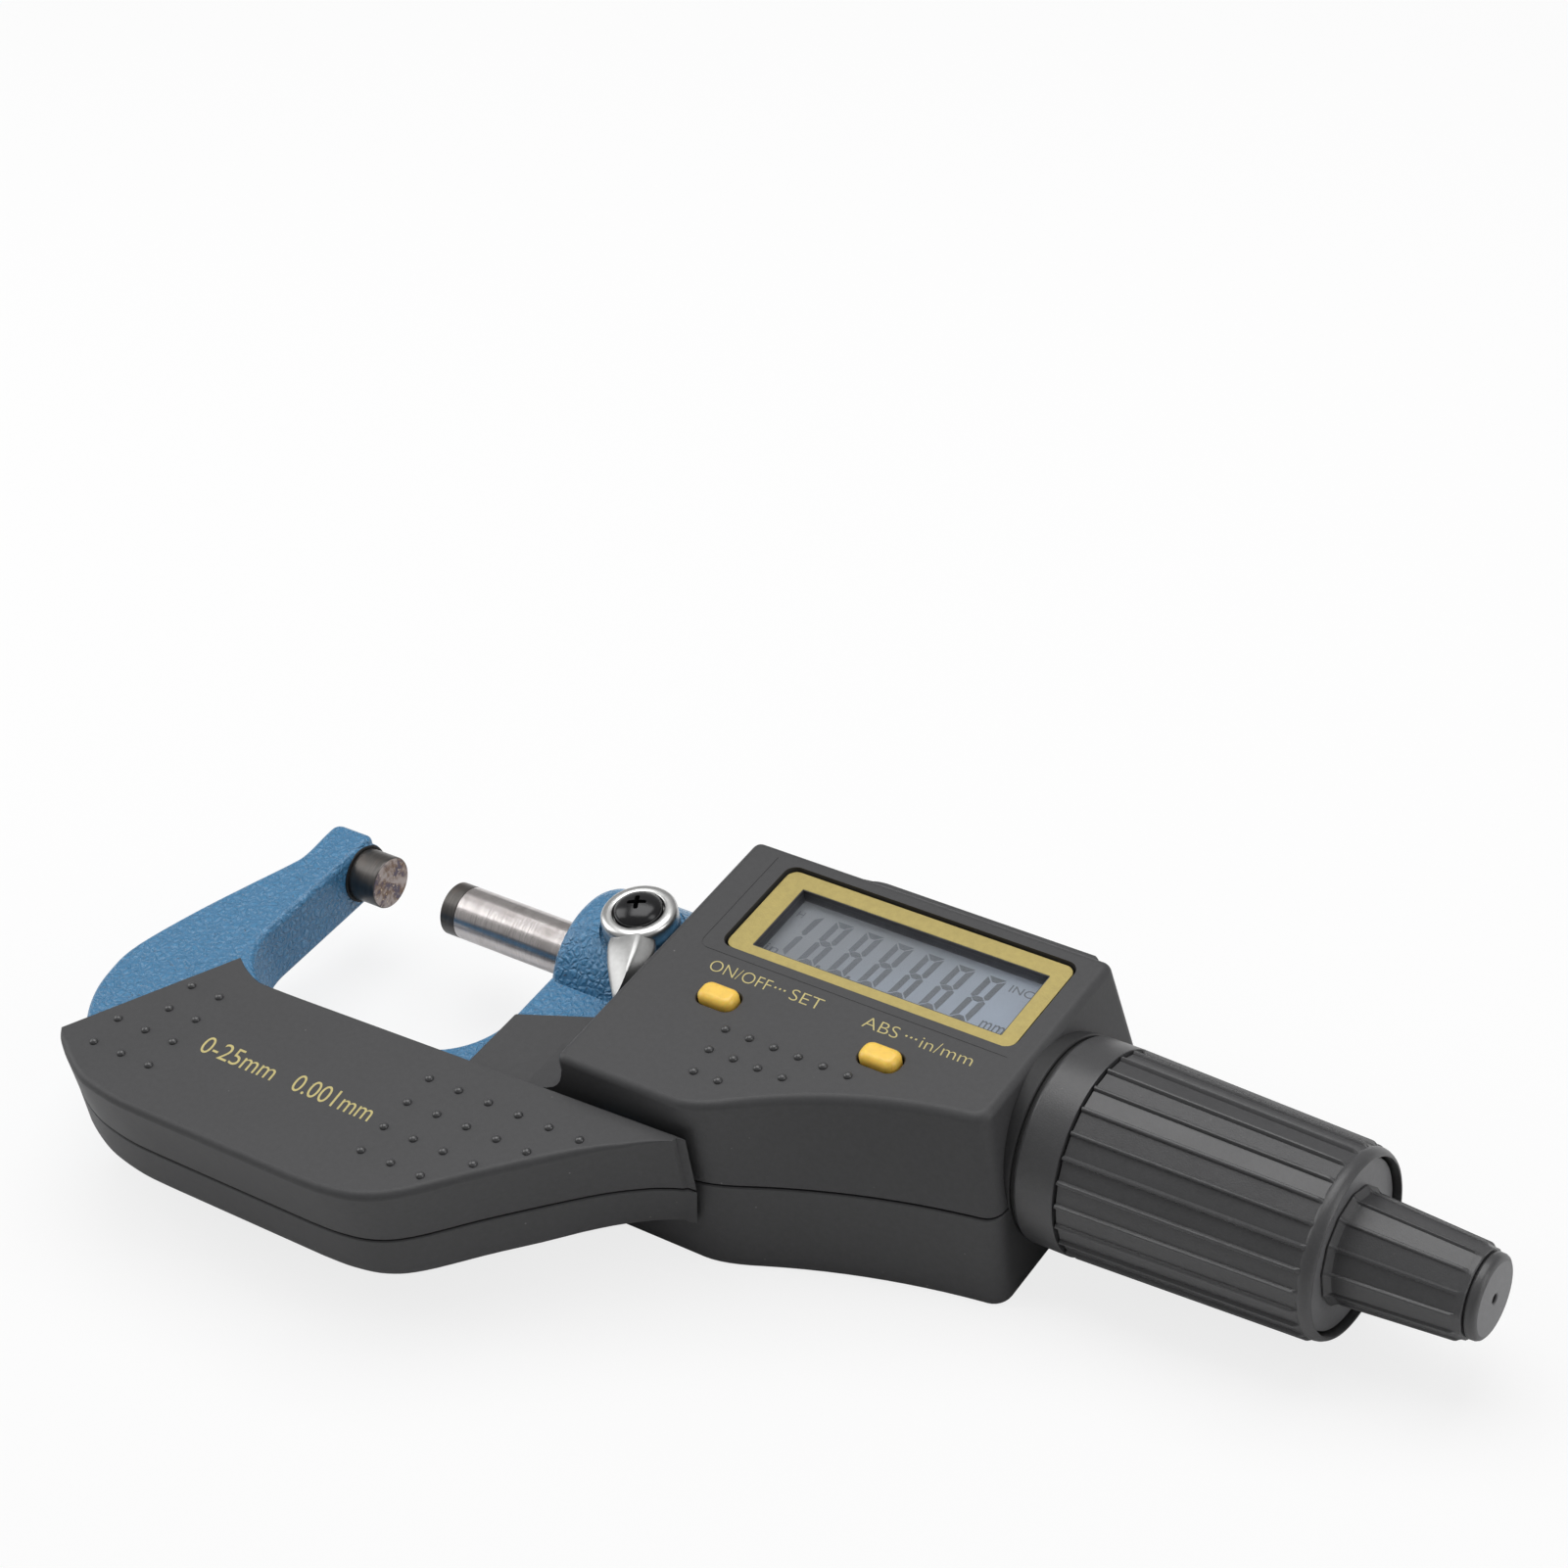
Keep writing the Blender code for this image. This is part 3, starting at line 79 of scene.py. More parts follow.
class Wiring:
    """Adds nodes to one node tree and joins them."""

    def __init__(self, tree):
        self.tree = tree

    def feed(self, socket, value):
        """Gives a socket a number, a colour, a vector or another socket's value."""
        if isinstance(value, bpy.types.NodeSocket):
            self.tree.links.new(value, socket)
        else:
            socket.default_value = (*value, 1.0) if socket.type == "RGBA" else value

    def node(self, kind, *feeds, **settings):
        """A new node with its settings, and with (socket, value) feeds."""
        node = self.tree.nodes.new(kind)
        for label, value in settings.items():
            setattr(node, label, value)
        for label, value in feeds:
            self.feed(node.inputs[label], value)
        return node

    def maths(self, operation, first, second, clamp=False):
        return self.node("ShaderNodeMath", (0, first), (1, second), operation=operation,
                         use_clamp=clamp).outputs[0]

    def add(self, first, second, clamp=False):
        return self.maths("ADD", first, second, clamp)

    def take(self, first, second):
        return self.maths("SUBTRACT", first, second)

    def times(self, first, second):
        return self.maths("MULTIPLY", first, second)

    def blend(self, amount, first, second):
        """A colour mixed from two colours by an amount."""
        return self.node("ShaderNodeMix", (0, amount), (6, first), (7, second),
                         data_type="RGBA").outputs[2]

    def noise(self, place, scale, detail=3.0, rough=0.6):
        return self.node("ShaderNodeTexNoise", ("Scale", scale), ("Detail", detail),
                         ("Roughness", rough), ("Vector", place)).outputs["Fac"]

    def ramp(self, value, low, high):
        """Maps a value from low..high to 0..1, with soft ends."""
        return self.node("ShaderNodeMapRange", ("From Min", low), ("From Max", high),
                         ("Value", value), interpolation_type="SMOOTHSTEP").outputs["Result"]

    def split(self, vector):
        """The three coordinates of a vector."""
        return self.node("ShaderNodeSeparateXYZ", (0, vector)).outputs[:]


class Surface(Wiring):
    """A shader group that gives a colour, a roughness and a height."""

    def __init__(self, name, **inputs):
        super().__init__(bpy.data.node_groups.new(name, "ShaderNodeTree"))
        face = self.tree.interface
        for label, value in inputs.items():
            colour = isinstance(value, tuple)
            socket = face.new_socket(name=label.replace("_", " "), in_out="INPUT",
                                     socket_type="NodeSocket" + ("Color" if colour else "Float"))
            socket.default_value = (*value, 1.0) if colour else value
        for label, kind in (("Colour", "Color"), ("Roughness", "Float"), ("Height", "Float")):
            face.new_socket(name=label, in_out="OUTPUT", socket_type="NodeSocket" + kind)
        self.given = self.node("NodeGroupInput").outputs
        self.place = self.node("ShaderNodeTexCoord").outputs["Object"]

    def give(self, colour, roughness, height):
        self.node("NodeGroupOutput", (0, colour), (1, roughness), (2, height))
        return self.tree


def moulded_grain_group():
    """Fine spark texture of moulded plastic, with uneven sheen and a little dust."""
    s = Surface("moulded_grain", Colour=(0.05, 0.05, 0.05), Sheen_Spread=0.08, Roughness=0.5,
                Dust=0.3)
    fine = s.noise(s.place, 5200, 2.0)
    broad = s.noise(s.place, 140, 3.0, 0.55)
    mottle = s.noise(s.place, 1500)
    specks = s.node("ShaderNodeTexVoronoi", ("Scale", 620), ("Vector", s.place))
    small = s.ramp(specks.outputs["Distance"], 0.085, 0.04)
    chosen = s.node("ShaderNodeSeparateColor", (0, specks.outputs["Color"]))
    rare = s.ramp(chosen.outputs[0], 0.80, 0.92)
    speck = s.times(s.times(small, rare), s.given["Dust"])
    shade = s.add(s.times(mottle, 0.30), s.add(s.times(broad, 0.16), 0.77))
    tinted = s.node("ShaderNodeVectorMath", (0, s.given["Colour"]), ("Scale", shade),
                    operation="SCALE")
    colour = s.blend(speck, tinted.outputs[0], (0.42, 0.41, 0.40))
    spread = s.times(s.take(broad, 0.5), s.given["Sheen Spread"])
    rough = s.add(s.add(s.given["Roughness"], spread), s.times(speck, 0.3), clamp=True)
    return s.give(colour, rough, fine)


def hammered_enamel_group():
    """Wrinkled hammer-finish enamel: shallow cells with painted shade darkening their valleys, and
    rusty specks.
    """
    s = Surface("hammered_enamel", Crest=(0.1, 0.3, 0.5), Valley=(0.02, 0.1, 0.2),
                Cell_Size=900.0, Specks=0.5)
    wander = s.node("ShaderNodeTexNoise", ("Scale", 700), ("Vector", s.place))
    shifted = s.node("ShaderNodeVectorMath", (0, wander.outputs["Color"]),
                     (1, (0.0011, 0.0011, 0.0011)), (2, s.place),
                     operation="MULTIPLY_ADD").outputs[0]
    edge = s.node("ShaderNodeTexVoronoi", ("Vector", shifted), ("Scale", s.given["Cell Size"]),
                  feature="DISTANCE_TO_EDGE").outputs["Distance"]
    swell = s.noise(s.place, 420)
    wrinkle = s.noise(shifted, 1500)
    dome = s.ramp(edge, 0.0, 0.34)
    # The crease mask marks the valleys between cells, where painted shade darkens the colour.
    crease = s.take(1.0, s.ramp(edge, 0.01, 0.15))
    valley = s.given["Valley"]
    colour = s.blend(s.times(crease, 0.38), s.given["Crest"], valley)
    colour = s.blend(s.times(s.ramp(wrinkle, 0.35, 0.65), 0.20), colour, valley)
    rust = s.ramp(s.noise(s.place, 2300, 2.0, 0.5), 0.685, 0.74)
    colour = s.blend(s.times(rust, s.given["Specks"]), colour, (0.10, 0.055, 0.035))
    height = s.add(s.times(swell, 0.5), s.add(s.times(dome, 0.55), s.times(wrinkle, 0.9)))
    return s.give(colour, s.add(s.times(crease, 0.15), 0.27), height)


def turned_marks_group():
    """Fine rings left by turning or grinding about the X axis."""
    s = Surface("turned_marks", Colour=(0.5, 0.5, 0.5), Ring_Scale=9000.0, Roughness=0.25,
                Stain=0.2)
    scales = (s.given["Ring Scale"], 320.0, 320.0)
    feeds = [(k, s.times(value, scales[k])) for k, value in enumerate(s.split(s.place))]
    rings = s.noise(s.node("ShaderNodeCombineXYZ", *feeds).outputs[0], 1.0, 3.0, 0.7)
    stain = s.times(s.ramp(s.noise(s.place, 320), 0.45, 0.75), s.given["Stain"])
    streak = s.times(s.ramp(rings, 0.35, 0.75), 0.38)
    colour = s.blend(streak, s.given["Colour"], (0.20, 0.18, 0.17))
    colour = s.blend(stain, colour, (0.16, 0.12, 0.10))
    return s.give(colour, s.add(s.times(rings, 0.16), s.given["Roughness"]), rings)


def tarnish_group():
    """A ground face with brown and purple stains and a few pale spots."""
    s = Surface("tarnish", Colour=(0.4, 0.34, 0.31), Stain=0.8, Roughness=0.35)
    fine = s.noise(s.place, 1500, 4.0, 0.65)
    brown = s.times(s.ramp(s.noise(s.place, 420), 0.36, 0.54), s.given["Stain"])
    purple = s.times(s.ramp(s.noise(s.place, 800), 0.50, 0.60), brown)
    colour = s.blend(s.times(brown, s.ramp(fine, 0.30, 0.55)), s.given["Colour"],
                     (0.170, 0.090, 0.045))
    colour = s.blend(purple, colour, (0.105, 0.085, 0.130))
    pale = s.ramp(s.noise(s.place, 1900, 1.0, 0.5), 0.66, 0.74)
    colour = s.blend(s.times(pale, 0.8), colour, (0.72, 0.60, 0.42))
    return s.give(colour, s.add(s.times(fine, 0.2), s.given["Roughness"]), fine)


def lcd_group():
    """The grey of a liquid crystal panel, with painted shade that darkens it towards its upper
    left corner.
    """
    s = Surface("lcd_field", Shaded=(0.12, 0.12, 0.12), Open=(0.24, 0.27, 0.33), Roughness=0.3)
    x, y, _z = s.split(s.place)
    across = s.take(x, s.times(y, 1.3))
    cloud = s.noise(s.place, 160, 3.0, 0.55)
    # Painted shade: the slope blends the shaded grey at the upper left into the open grey.
    shade_slope = s.add(s.ramp(across, 0.050, 0.092), s.times(s.take(cloud, 0.5), 0.25))
    colour = s.blend(s.maths("MAXIMUM", shade_slope, 0.0), s.given["Shaded"], s.given["Open"])
    return s.give(colour, s.add(s.times(cloud, 0.06), s.given["Roughness"]),
                  s.noise(s.place, 4000, 2.0))


groups = {"grain": moulded_grain_group(), "enamel": hammered_enamel_group(),
          "turned": turned_marks_group(), "tarnish": tarnish_group(), "lcd": lcd_group()}


# Materials

def new_material(name, group=None, depth=0.0, bump=1.0, values=(), **shader_values):
    """A Principled material fed by a group, with relief of a depth in metres from its height."""
    mat = bpy.data.materials.new(name)
    mat.use_nodes = True
    wires = Wiring(mat.node_tree)
    sockets = mat.node_tree.nodes["Principled BSDF"].inputs
    for label, value in shader_values.items():
        wires.feed(sockets[label.replace("_", " ")], value)
    if group:
        box = wires.node("ShaderNodeGroup", node_tree=groups[group])
        for label, value in dict(values).items():
            wires.feed(box.inputs[label], value)
        wires.feed(sockets["Base Color"], box.outputs["Colour"])
        wires.feed(sockets["Roughness"], box.outputs["Roughness"])
        if depth:
            relief = wires.node("ShaderNodeBump", ("Strength", bump), ("Distance", depth),
                                ("Height", box.outputs["Height"]))
            wires.feed(sockets["Normal"], relief.outputs[0])
    return mat


def grained(name, colour, rough, spread, dust, depth=0.0, bump=0.2, **shader_values):
    """A surface with moulded grain."""
    values = {"Colour": colour, "Roughness": rough, "Sheen Spread": spread, "Dust": dust}
    return new_material(name, "grain", depth, bump, values, **shader_values)


def machined(name, colour, rings, rough, stain, depth=0.00003, bump=0.3, metal=1.0):
    """A turned or ground metal surface."""
    values = {"Colour": colour, "Ring Scale": rings, "Roughness": rough, "Stain": stain}
    return new_material(name, "turned", depth, bump, values, Metallic=metal)


blue_enamel = new_material("blue_hammered_enamel", "enamel", 0.00026, 0.9,
                           {"Crest": (0.066, 0.232, 0.425), "Valley": (0.024, 0.112, 0.235),
                            "Cell Size": 1150.0, "Specks": 0.60},
                           Coat_Weight=0.3, Coat_Roughness=0.22)
anvil_stain = new_material("anvil_face_tarnish", "tarnish", 0.00002, 0.2,
                           {"Colour": (0.46, 0.39, 0.365), "Stain": 0.9, "Roughness": 0.38},
                           Metallic=0.25)
# The Shaded colour is painted shade at the panel's upper left.
lcd_back = new_material("lcd_back", "lcd", 0.00001, 0.1,
                        {"Shaded": (0.150, 0.154, 0.158), "Open": (0.225, 0.255, 0.295),
                         "Roughness": 0.30})
window_clear = new_material("window_clear", Base_Color=(0.95, 0.97, 1.0), Roughness=0.03,
                            IOR=1.2, Transmission_Weight=1.0)
spindle_steel = machined("spindle_ground_steel", (0.68, 0.64, 0.63), 7000.0, 0.16, 0.22, bump=0.4)
tip_metal = machined("hard_metal_tip", (0.105, 0.100, 0.095), 6000.0, 0.26, 0.40, metal=0.85)
brass_turned = machined("turned_brass", (0.62, 0.42, 0.16), 9000.0, 0.3, 0.2, depth=0.00002)

shell_plastic = grained("shell_plastic", (0.052, 0.052, 0.054), 0.52, 0.10, 0.25, 0.00004, 0.35,
                        Specular_IOR_Level=0.4)
# A darker copy of the shell plastic: painted shade for the dark valley between the housing and the
# collar.
shaded_shoulder_plastic = grained("shaded_shoulder_plastic", (0.026, 0.026, 0.027), 0.50, 0.10, 0.25, 0.00004,
                           0.3, Specular_IOR_Level=0.35)
thimble_plastic = grained("thimble_satin", (0.058, 0.058, 0.060), 0.35, 0.20, 0.15, 0.00005, 0.45,
                          Specular_IOR_Level=0.5)
disc_plastic = grained("disc_satin", (0.150, 0.150, 0.155), 0.45, 0.10, 0.10, 0.00003, 0.3)
pip_plastic = grained("pip_plastic", (0.050, 0.050, 0.052), 0.30, 0.05, 0.1, 0.00002,
                      Specular_IOR_Level=0.6)
# Black for hidden inner parts, and painted shade for the dark rings put in the gaps round the
# anvil, the collar and the lip.
hidden_and_gap_shade_black = grained("inner_and_gap_shade_black", (0.010, 0.010, 0.010), 0.7, 0.08, 0.0, 0.00003)
window_wall = grained("window_wall", (0.055, 0.055, 0.060), 0.35, 0.08, 0.0, 0.00002)
black_screw = grained("black_screw_finish", (0.010, 0.010, 0.011), 0.22, 0.1, 0.05, 0.00002,
                      Metallic=0.2)
lever_chrome = grained("satin_chrome_finish", (0.60, 0.60, 0.59), 0.31, 0.08, 0.05, 0.00003,
                       Metallic=1.0)
# A darker copy of the lever's satin chrome: painted shade that tones down the horn's lamp-facing
# side.
horn_shaded_chrome = grained("horn_shaded_satin_chrome", (0.40, 0.40, 0.395), 0.40, 0.08, 0.05, 0.00003,
                      Metallic=1.0)
frame_gold = grained("display_frame_gold", (0.43, 0.345, 0.118), 0.45, 0.12, 0.15, 0.00007, 0.6,
                     Metallic=0.35)
button_amber = grained("button_amber", (0.93, 0.60, 0.10), 0.34, 0.05, 0.03, 0.00002, 0.15,
                       Subsurface_Weight=0.15, Subsurface_Scale=0.001)
board_mask = grained("board_solder_mask", (0.02, 0.12, 0.05), 0.35, 0.08, 0.0, 0.00002)
letter_gold = grained("letter_gold", (0.55, 0.47, 0.19), 0.5, 0.08, 0.0)
lcd_ink = grained("lcd_ink", (0.072, 0.077, 0.082), 0.35, 0.08, 0.0)


# Shapes

def rounded_path(corners, steps=6):
    """A closed outline with each (x, y, radius) corner rounded by an arc."""
    outline = []
    count = len(corners)
    for i, (x, y, radius) in enumerate(corners):
        here = Vector((x, y))
        if radius <= 0:
            outline.append((x, y))
            continue
        before = Vector(corners[i - 1][:2])
        after = Vector(corners[(i + 1) % count][:2])
        u = (before - here).normalized()
        v = (after - here).normalized()
        half = u.angle(v) / 2
        reach = radius / tan(half)
        centre = here + (u + v).normalized() * (radius / sin(half))
        start = here + u * reach - centre
        end = here + v * reach - centre
        turn = start.angle_signed(end)
        for k in range(steps + 1):
            spoke = start.copy()
            spoke.rotate(Matrix.Rotation(-turn * k / steps, 2))
            outline.append(tuple(centre + spoke))
    return outline


def smooth_path(anchors, steps):
    """Points on a smooth open curve through the anchors."""
    ends = [anchors[0], *anchors, anchors[-1]]
    points = []
    for i in range(1, len(ends) - 2):
        p0, p1, p2, p3 = (Vector(p) for p in ends[i - 1:i + 3])
        for k in range(steps):
            t = k / steps
            points.append(tuple(0.5 * (2 * p1 + (p2 - p0) * t
                                       + (2 * p0 - 5 * p1 + 4 * p2 - p3) * t ** 2
                                       + (3 * p1 - p0 - 3 * p2 + p3) * t ** 3)))
    return [*points, tuple(anchors[-1])]


def arc(centre, radius, start_deg, end_deg, steps):
    """Points on an arc, with both its ends."""
    angles = (radians(start_deg + (end_deg - start_deg) * i / steps) for i in range(steps + 1))
    return [(centre[0] + radius * cos(a), centre[1] + radius * sin(a)) for a in angles]


def round_box(low, high, radius, steps):
    """A rectangle's outline from its lower left to its upper right, with round corners."""
    (x0, y0), (x1, y1) = low, high
    return rounded_path([(x, y, radius) for x, y in ((x0, y0), (x1, y0), (x1, y1), (x0, y1))],
                        steps)


def inward(outline):
    """The inward direction at each point of a counter-clockwise outline, for an offset of 1."""
    count = len(outline)
    moves = []
    for i in range(count):
        before, here, after = (Vector(outline[(i + k) % count]) for k in (-1, 0, 1))
        u = (here - before).normalized()
        v = (after - here).normalized()
        n1 = Vector((-u.y, u.x))
        n2 = Vector((-v.y, v.x))
        moves.append((n1 + n2) / max(0.35, 1.0 + n1.dot(n2)))
    return moves


def ring_at(outline, z, shrink=0.0):
    """The outline as 3-D points at a height, moved inwards."""
    if not shrink:
        return [(x, y, z) for x, y in outline]
    return [(x + m.x * shrink, y + m.y * shrink, z) for (x, y), m in zip(outline, inward(outline))]


def loft(rings):
    """A closed mesh through rings that have the same number of points."""
    bm = bmesh.new()
    rows = [[bm.verts.new(p) for p in ring] for ring in rings]
    total = len(rows[0])
    for one, two in zip(rows, rows[1:]):
        for i in range(total):
            bm.faces.new((one[i], one[(i + 1) % total], two[(i + 1) % total], two[i]))
    bm.faces.new(list(reversed(rows[0])))
    bm.faces.new(rows[-1])
    bmesh.ops.recalc_face_normals(bm, faces=bm.faces)
    mesh = bpy.data.meshes.new("loft")
    bm.to_mesh(mesh)
    bm.free()
    return mesh


def slab(outline, low, high, top_edge=0.0, low_edge=0.0, steps=4):
    """A flat piece whose upper and lower edges are rounded."""
    quarter = [pi / 2 * k / steps for k in range(steps + 1)]
    rings = [ring_at(outline, low + low_edge * (1 - cos(a)), low_edge * (1 - sin(a)))
             for a in (quarter if low_edge else quarter[-1:])]
    rings += [ring_at(outline, high - top_edge * (1 - sin(a)), top_edge * (1 - cos(a)))
              for a in (quarter if top_edge else quarter[:1])]
    return loft(rings)


def turned(profile, steps=96):
    """A turned piece about X from (x, radius) points, by a Screw modifier.

    A profile that starts and ends on the axis is solid, and any other is a closed ring.
    """
    closed = min(profile[0][1], profile[-1][1]) > 0
    edges = [(i, i + 1) for i in range(len(profile) - 1)]
    if closed:
        edges.append((len(profile) - 1, 0))
    mesh = bpy.data.meshes.new("profile")
    mesh.from_pydata([(x, r, 0.0) for x, r in profile], edges, [])
    obj = bpy.data.objects.new("profile", mesh)
    scene.collection.objects.link(obj)
    screw = obj.modifiers.new("turn", "SCREW")
    screw.axis = "X"
    screw.steps = screw.render_steps = steps
    screw.use_merge_vertices = True
    screw.merge_threshold = 0.0001
    return baked(obj)


def evaluated(obj):
    """The plain mesh that an object shows with its modifiers."""
    bpy.context.view_layer.update()
    view = bpy.context.evaluated_depsgraph_get()
    return bpy.data.meshes.new_from_object(obj.evaluated_get(view))


def baked(obj, flat=False):
    """The object's evaluated mesh, merged and with its faces outwards; the object goes."""
    mesh = evaluated(obj)
    bpy.data.objects.remove(obj)
    bm = bmesh.new()
    bm.from_mesh(mesh)
    bmesh.ops.remove_doubles(bm, verts=bm.verts, dist=MERGE)
    if flat:
        bmesh.ops.dissolve_degenerate(bm, dist=0.002, edges=bm.edges)
        bmesh.ops.dissolve_limit(bm, angle_limit=radians(0.3), verts=bm.verts, edges=bm.edges)
    bmesh.ops.recalc_face_normals(bm, faces=bm.faces)
    bm.to_mesh(mesh)
    bm.free()
    return mesh


def shaped(mesh, *changes):
    """A mesh after ("cut" or "join", other mesh) changes."""
    for change, other in changes:
        obj = bpy.data.objects.new("work", mesh)
        tool = bpy.data.objects.new("tool", other)
        scene.collection.objects.link(obj)
        scene.collection.objects.link(tool)
        step = obj.modifiers.new("shape", "BOOLEAN")
        step.operation = "DIFFERENCE" if change == "cut" else "UNION"
        step.solver = "MANIFOLD"
        step.object = tool
        mesh = baked(obj, flat=(change, other) == changes[-1])
        bpy.data.objects.remove(tool)
    return mesh


def moved(mesh, *matrices):
    """The mesh itself after one transform after another."""
    for matrix in matrices:
        mesh.transform(matrix)
    return mesh


def block(low, high):
    """A box from its lowest to its highest corner."""
    return slab(round_box(low[:2], high[:2], 0, 1), low[2], high[2])


def upright(profile, place, steps=64):
    """A turned piece that stands along Z at a place, from (z, radius) points."""
    return moved(turned(profile, steps), Matrix.Rotation(-pi / 2, 4, "Y"),
                 Matrix.Translation(place))


def put(name, mesh, mat, body, replaces=(), sharp=32, weigh=True):
    """Puts a mesh drawn in millimetres into the scene and on its body."""
    mesh.transform(Matrix.Scale(0.001, 4))
    mesh.name = name
    mesh.materials.clear()
    mesh.materials.append(mat)
    mesh.shade_smooth()
    mesh.set_sharp_from_angle(angle=radians(sharp))
    obj = bpy.data.objects.new(name, mesh)
    scene.collection.objects.link(obj)
    if weigh:
        level = obj.modifiers.new("flats", "WEIGHTED_NORMAL")
        level.keep_sharp = True
        obj.data = evaluated(obj)
        obj.modifiers.clear()
    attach(obj, body)
    if replaces:
        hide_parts(*replaces)


# Repeating shapes, made by geometry nodes

def new_grower(name, **kinds):
    """The wiring and the inputs of a tree that turns a mesh into another of one material."""
    grower = Wiring(bpy.data.node_groups.new(name, "GeometryNodeTree"))
    face = grower.tree.interface
    for label, kind in {"Geometry": "Geometry", **kinds, "Material": "Material"}.items():
        face.new_socket(name=label, in_out="INPUT", socket_type="NodeSocket" + kind)
    face.new_socket(name="Geometry", in_out="OUTPUT", socket_type="NodeSocketGeometry")
    return grower, grower.node("NodeGroupInput").outputs


def close_grower(grower, geometry, material):
    """Gives the geometry its material and sends it out."""
    finish = grower.node("GeometryNodeSetMaterial", ("Geometry", geometry),
                         ("Material", material))
    grower.node("NodeGroupOutput", (0, finish.outputs[0]))
    return grower.tree


def around_axis_tree():
    """Copies a sector about X and merges the copies."""
    g, given = new_grower("around_axis", Count="Int", Phase="Float")
    line = g.node("GeometryNodeMeshLine", ("Offset", (0, 0, 0)), ("Count", given["Count"]))
    index = g.node("GeometryNodeInputIndex").outputs[0]
    step = g.maths("DIVIDE", 2 * pi, given["Count"])
    euler = g.node("ShaderNodeCombineXYZ", (0, g.add(g.times(index, step), given["Phase"])))
    rotation = g.node("FunctionNodeEulerToRotation", (0, euler.outputs[0]))
    copies = g.node("GeometryNodeInstanceOnPoints", ("Points", line.outputs[0]),
                    ("Instance", given["Geometry"]), ("Rotation", rotation.outputs[0]))
    real = g.node("GeometryNodeRealizeInstances", (0, copies.outputs[0]))
    merge = g.node("GeometryNodeMergeByDistance", ("Distance", MERGE),
                   ("Geometry", real.outputs[0]))
    return close_grower(g, merge.outputs[0], given["Material"])


def pips_tree():
    """Puts a low round pip on every point of the input."""
    g, given = new_grower("pips", Radius="Float", Height="Float")
    ball = g.node("GeometryNodeMeshUVSphere", ("Segments", 20), ("Rings", 12), ("Radius", 1.0))
    scale = g.node("ShaderNodeCombineXYZ", (0, given["Radius"]), (1, given["Radius"]),
                   (2, given["Height"]))
    copies = g.node("GeometryNodeInstanceOnPoints", ("Points", given["Geometry"]),
                    ("Instance", ball.outputs["Mesh"]), ("Scale", scale.outputs[0]))
    real = g.node("GeometryNodeRealizeInstances", (0, copies.outputs[0]))
    return close_grower(g, real.outputs[0], given["Material"])


def grown(tree, mesh, values):
    """The plain mesh that a geometry node tree makes from a mesh and named values."""
    obj = bpy.data.objects.new("seed", mesh)
    scene.collection.objects.link(obj)
    grow = obj.modifiers.new("grow", "NODES")
    grow.node_group = tree
    names = {s.name: s.identifier for s in tree.interface.items_tree if s.in_out == "INPUT"}
    for label, value in values.items():
        grow[names[label]] = value
    return baked(obj)


around_axis = around_axis_tree()
pips = pips_tree()


def ribbed_sector(stations, count, half_width, inner):
    """One sector of a ribbed barrel: half a flat facet on each side of a rounded rib.

    Each station is (x, radius at the rib's foot, rib height). The rows close through
    the inner radius, so the turned copies make a closed sleeve.
    """
    half = pi / count
    rows = []
    for x, radius, height in stations:
        foot = half_width / radius
        side = Vector((radius * cos(foot), radius * sin(foot)))
        # The facet runs straight from this rib's foot to the next one's.
        middle = side.dot(Vector((cos(half), sin(half))))
        rim = Vector((middle * cos(half), middle * sin(half)))
        near = side.lerp(rim, 0.10)
        row = [(radius + height * lift, across * half_width)
               for across, lift in ((0.0, 1.0), (0.45, 0.92), (0.80, 0.50))]
        row += [tuple(side), tuple(near), tuple(rim)]
        row = [(r, -t) for r, t in reversed(row[1:])] + row
        rows.append([(x, r, t) for r, t in row])
    angles = [Vector((1, 0)).angle_signed(Vector((r, t))) for _x, r, t in rows[0]]
    first, last = ([(x, inner * cos(a), -inner * sin(a)) for a in angles]
                   for x in (stations[0][0], stations[-1][0]))
    rows = [first, *rows, last]
    bm = bmesh.new()
    grid = [[bm.verts.new(p) for p in row] for row in rows]
    for one, two in zip(grid, [*grid[1:], grid[0]]):
        for i in range(len(one) - 1):
            bm.faces.new((one[i], one[i + 1], two[i + 1], two[i]))
    mesh = bpy.data.meshes.new("sector")
    bm.to_mesh(mesh)
    bm.free()
    return mesh


def ribbed(stations, count, phase, half_width, inner):
    """A sleeve or knob with ribs all round, the first at an angle in degrees."""
    return grown(around_axis, ribbed_sector(stations, count, half_width, inner),
                 {"Count": count, "Phase": radians(phase), "Material": thimble_plastic})


# Camera, light and floor

FOCAL_PX = 3731.0
PHOTO_PX = 1601.0
SENSOR = 36.0
CAMERA_TILT = 0.00067
LAMPS = (("softbox_top", (0.02, 0.15, 0.55), (0.55, 0.45), 2.5),
         ("softbox_left", (-0.45, -0.10, 0.30), (0.35, 0.45), 1.15),
         ("strip_right", (0.55, 0.10, 0.22), (0.20, 0.50), 0.75))
LAMP_AIM = Vector((0.065, -0.010, 0.0))

camera = bpy.data.objects.new("camera", bpy.data.cameras.new("camera"))
scene.collection.objects.link(camera)
scene.camera = camera
camera.data.sensor_width = SENSOR
camera.data.lens = FOCAL_PX / PHOTO_PX * SENSOR
camera.data.clip_start = 0.01
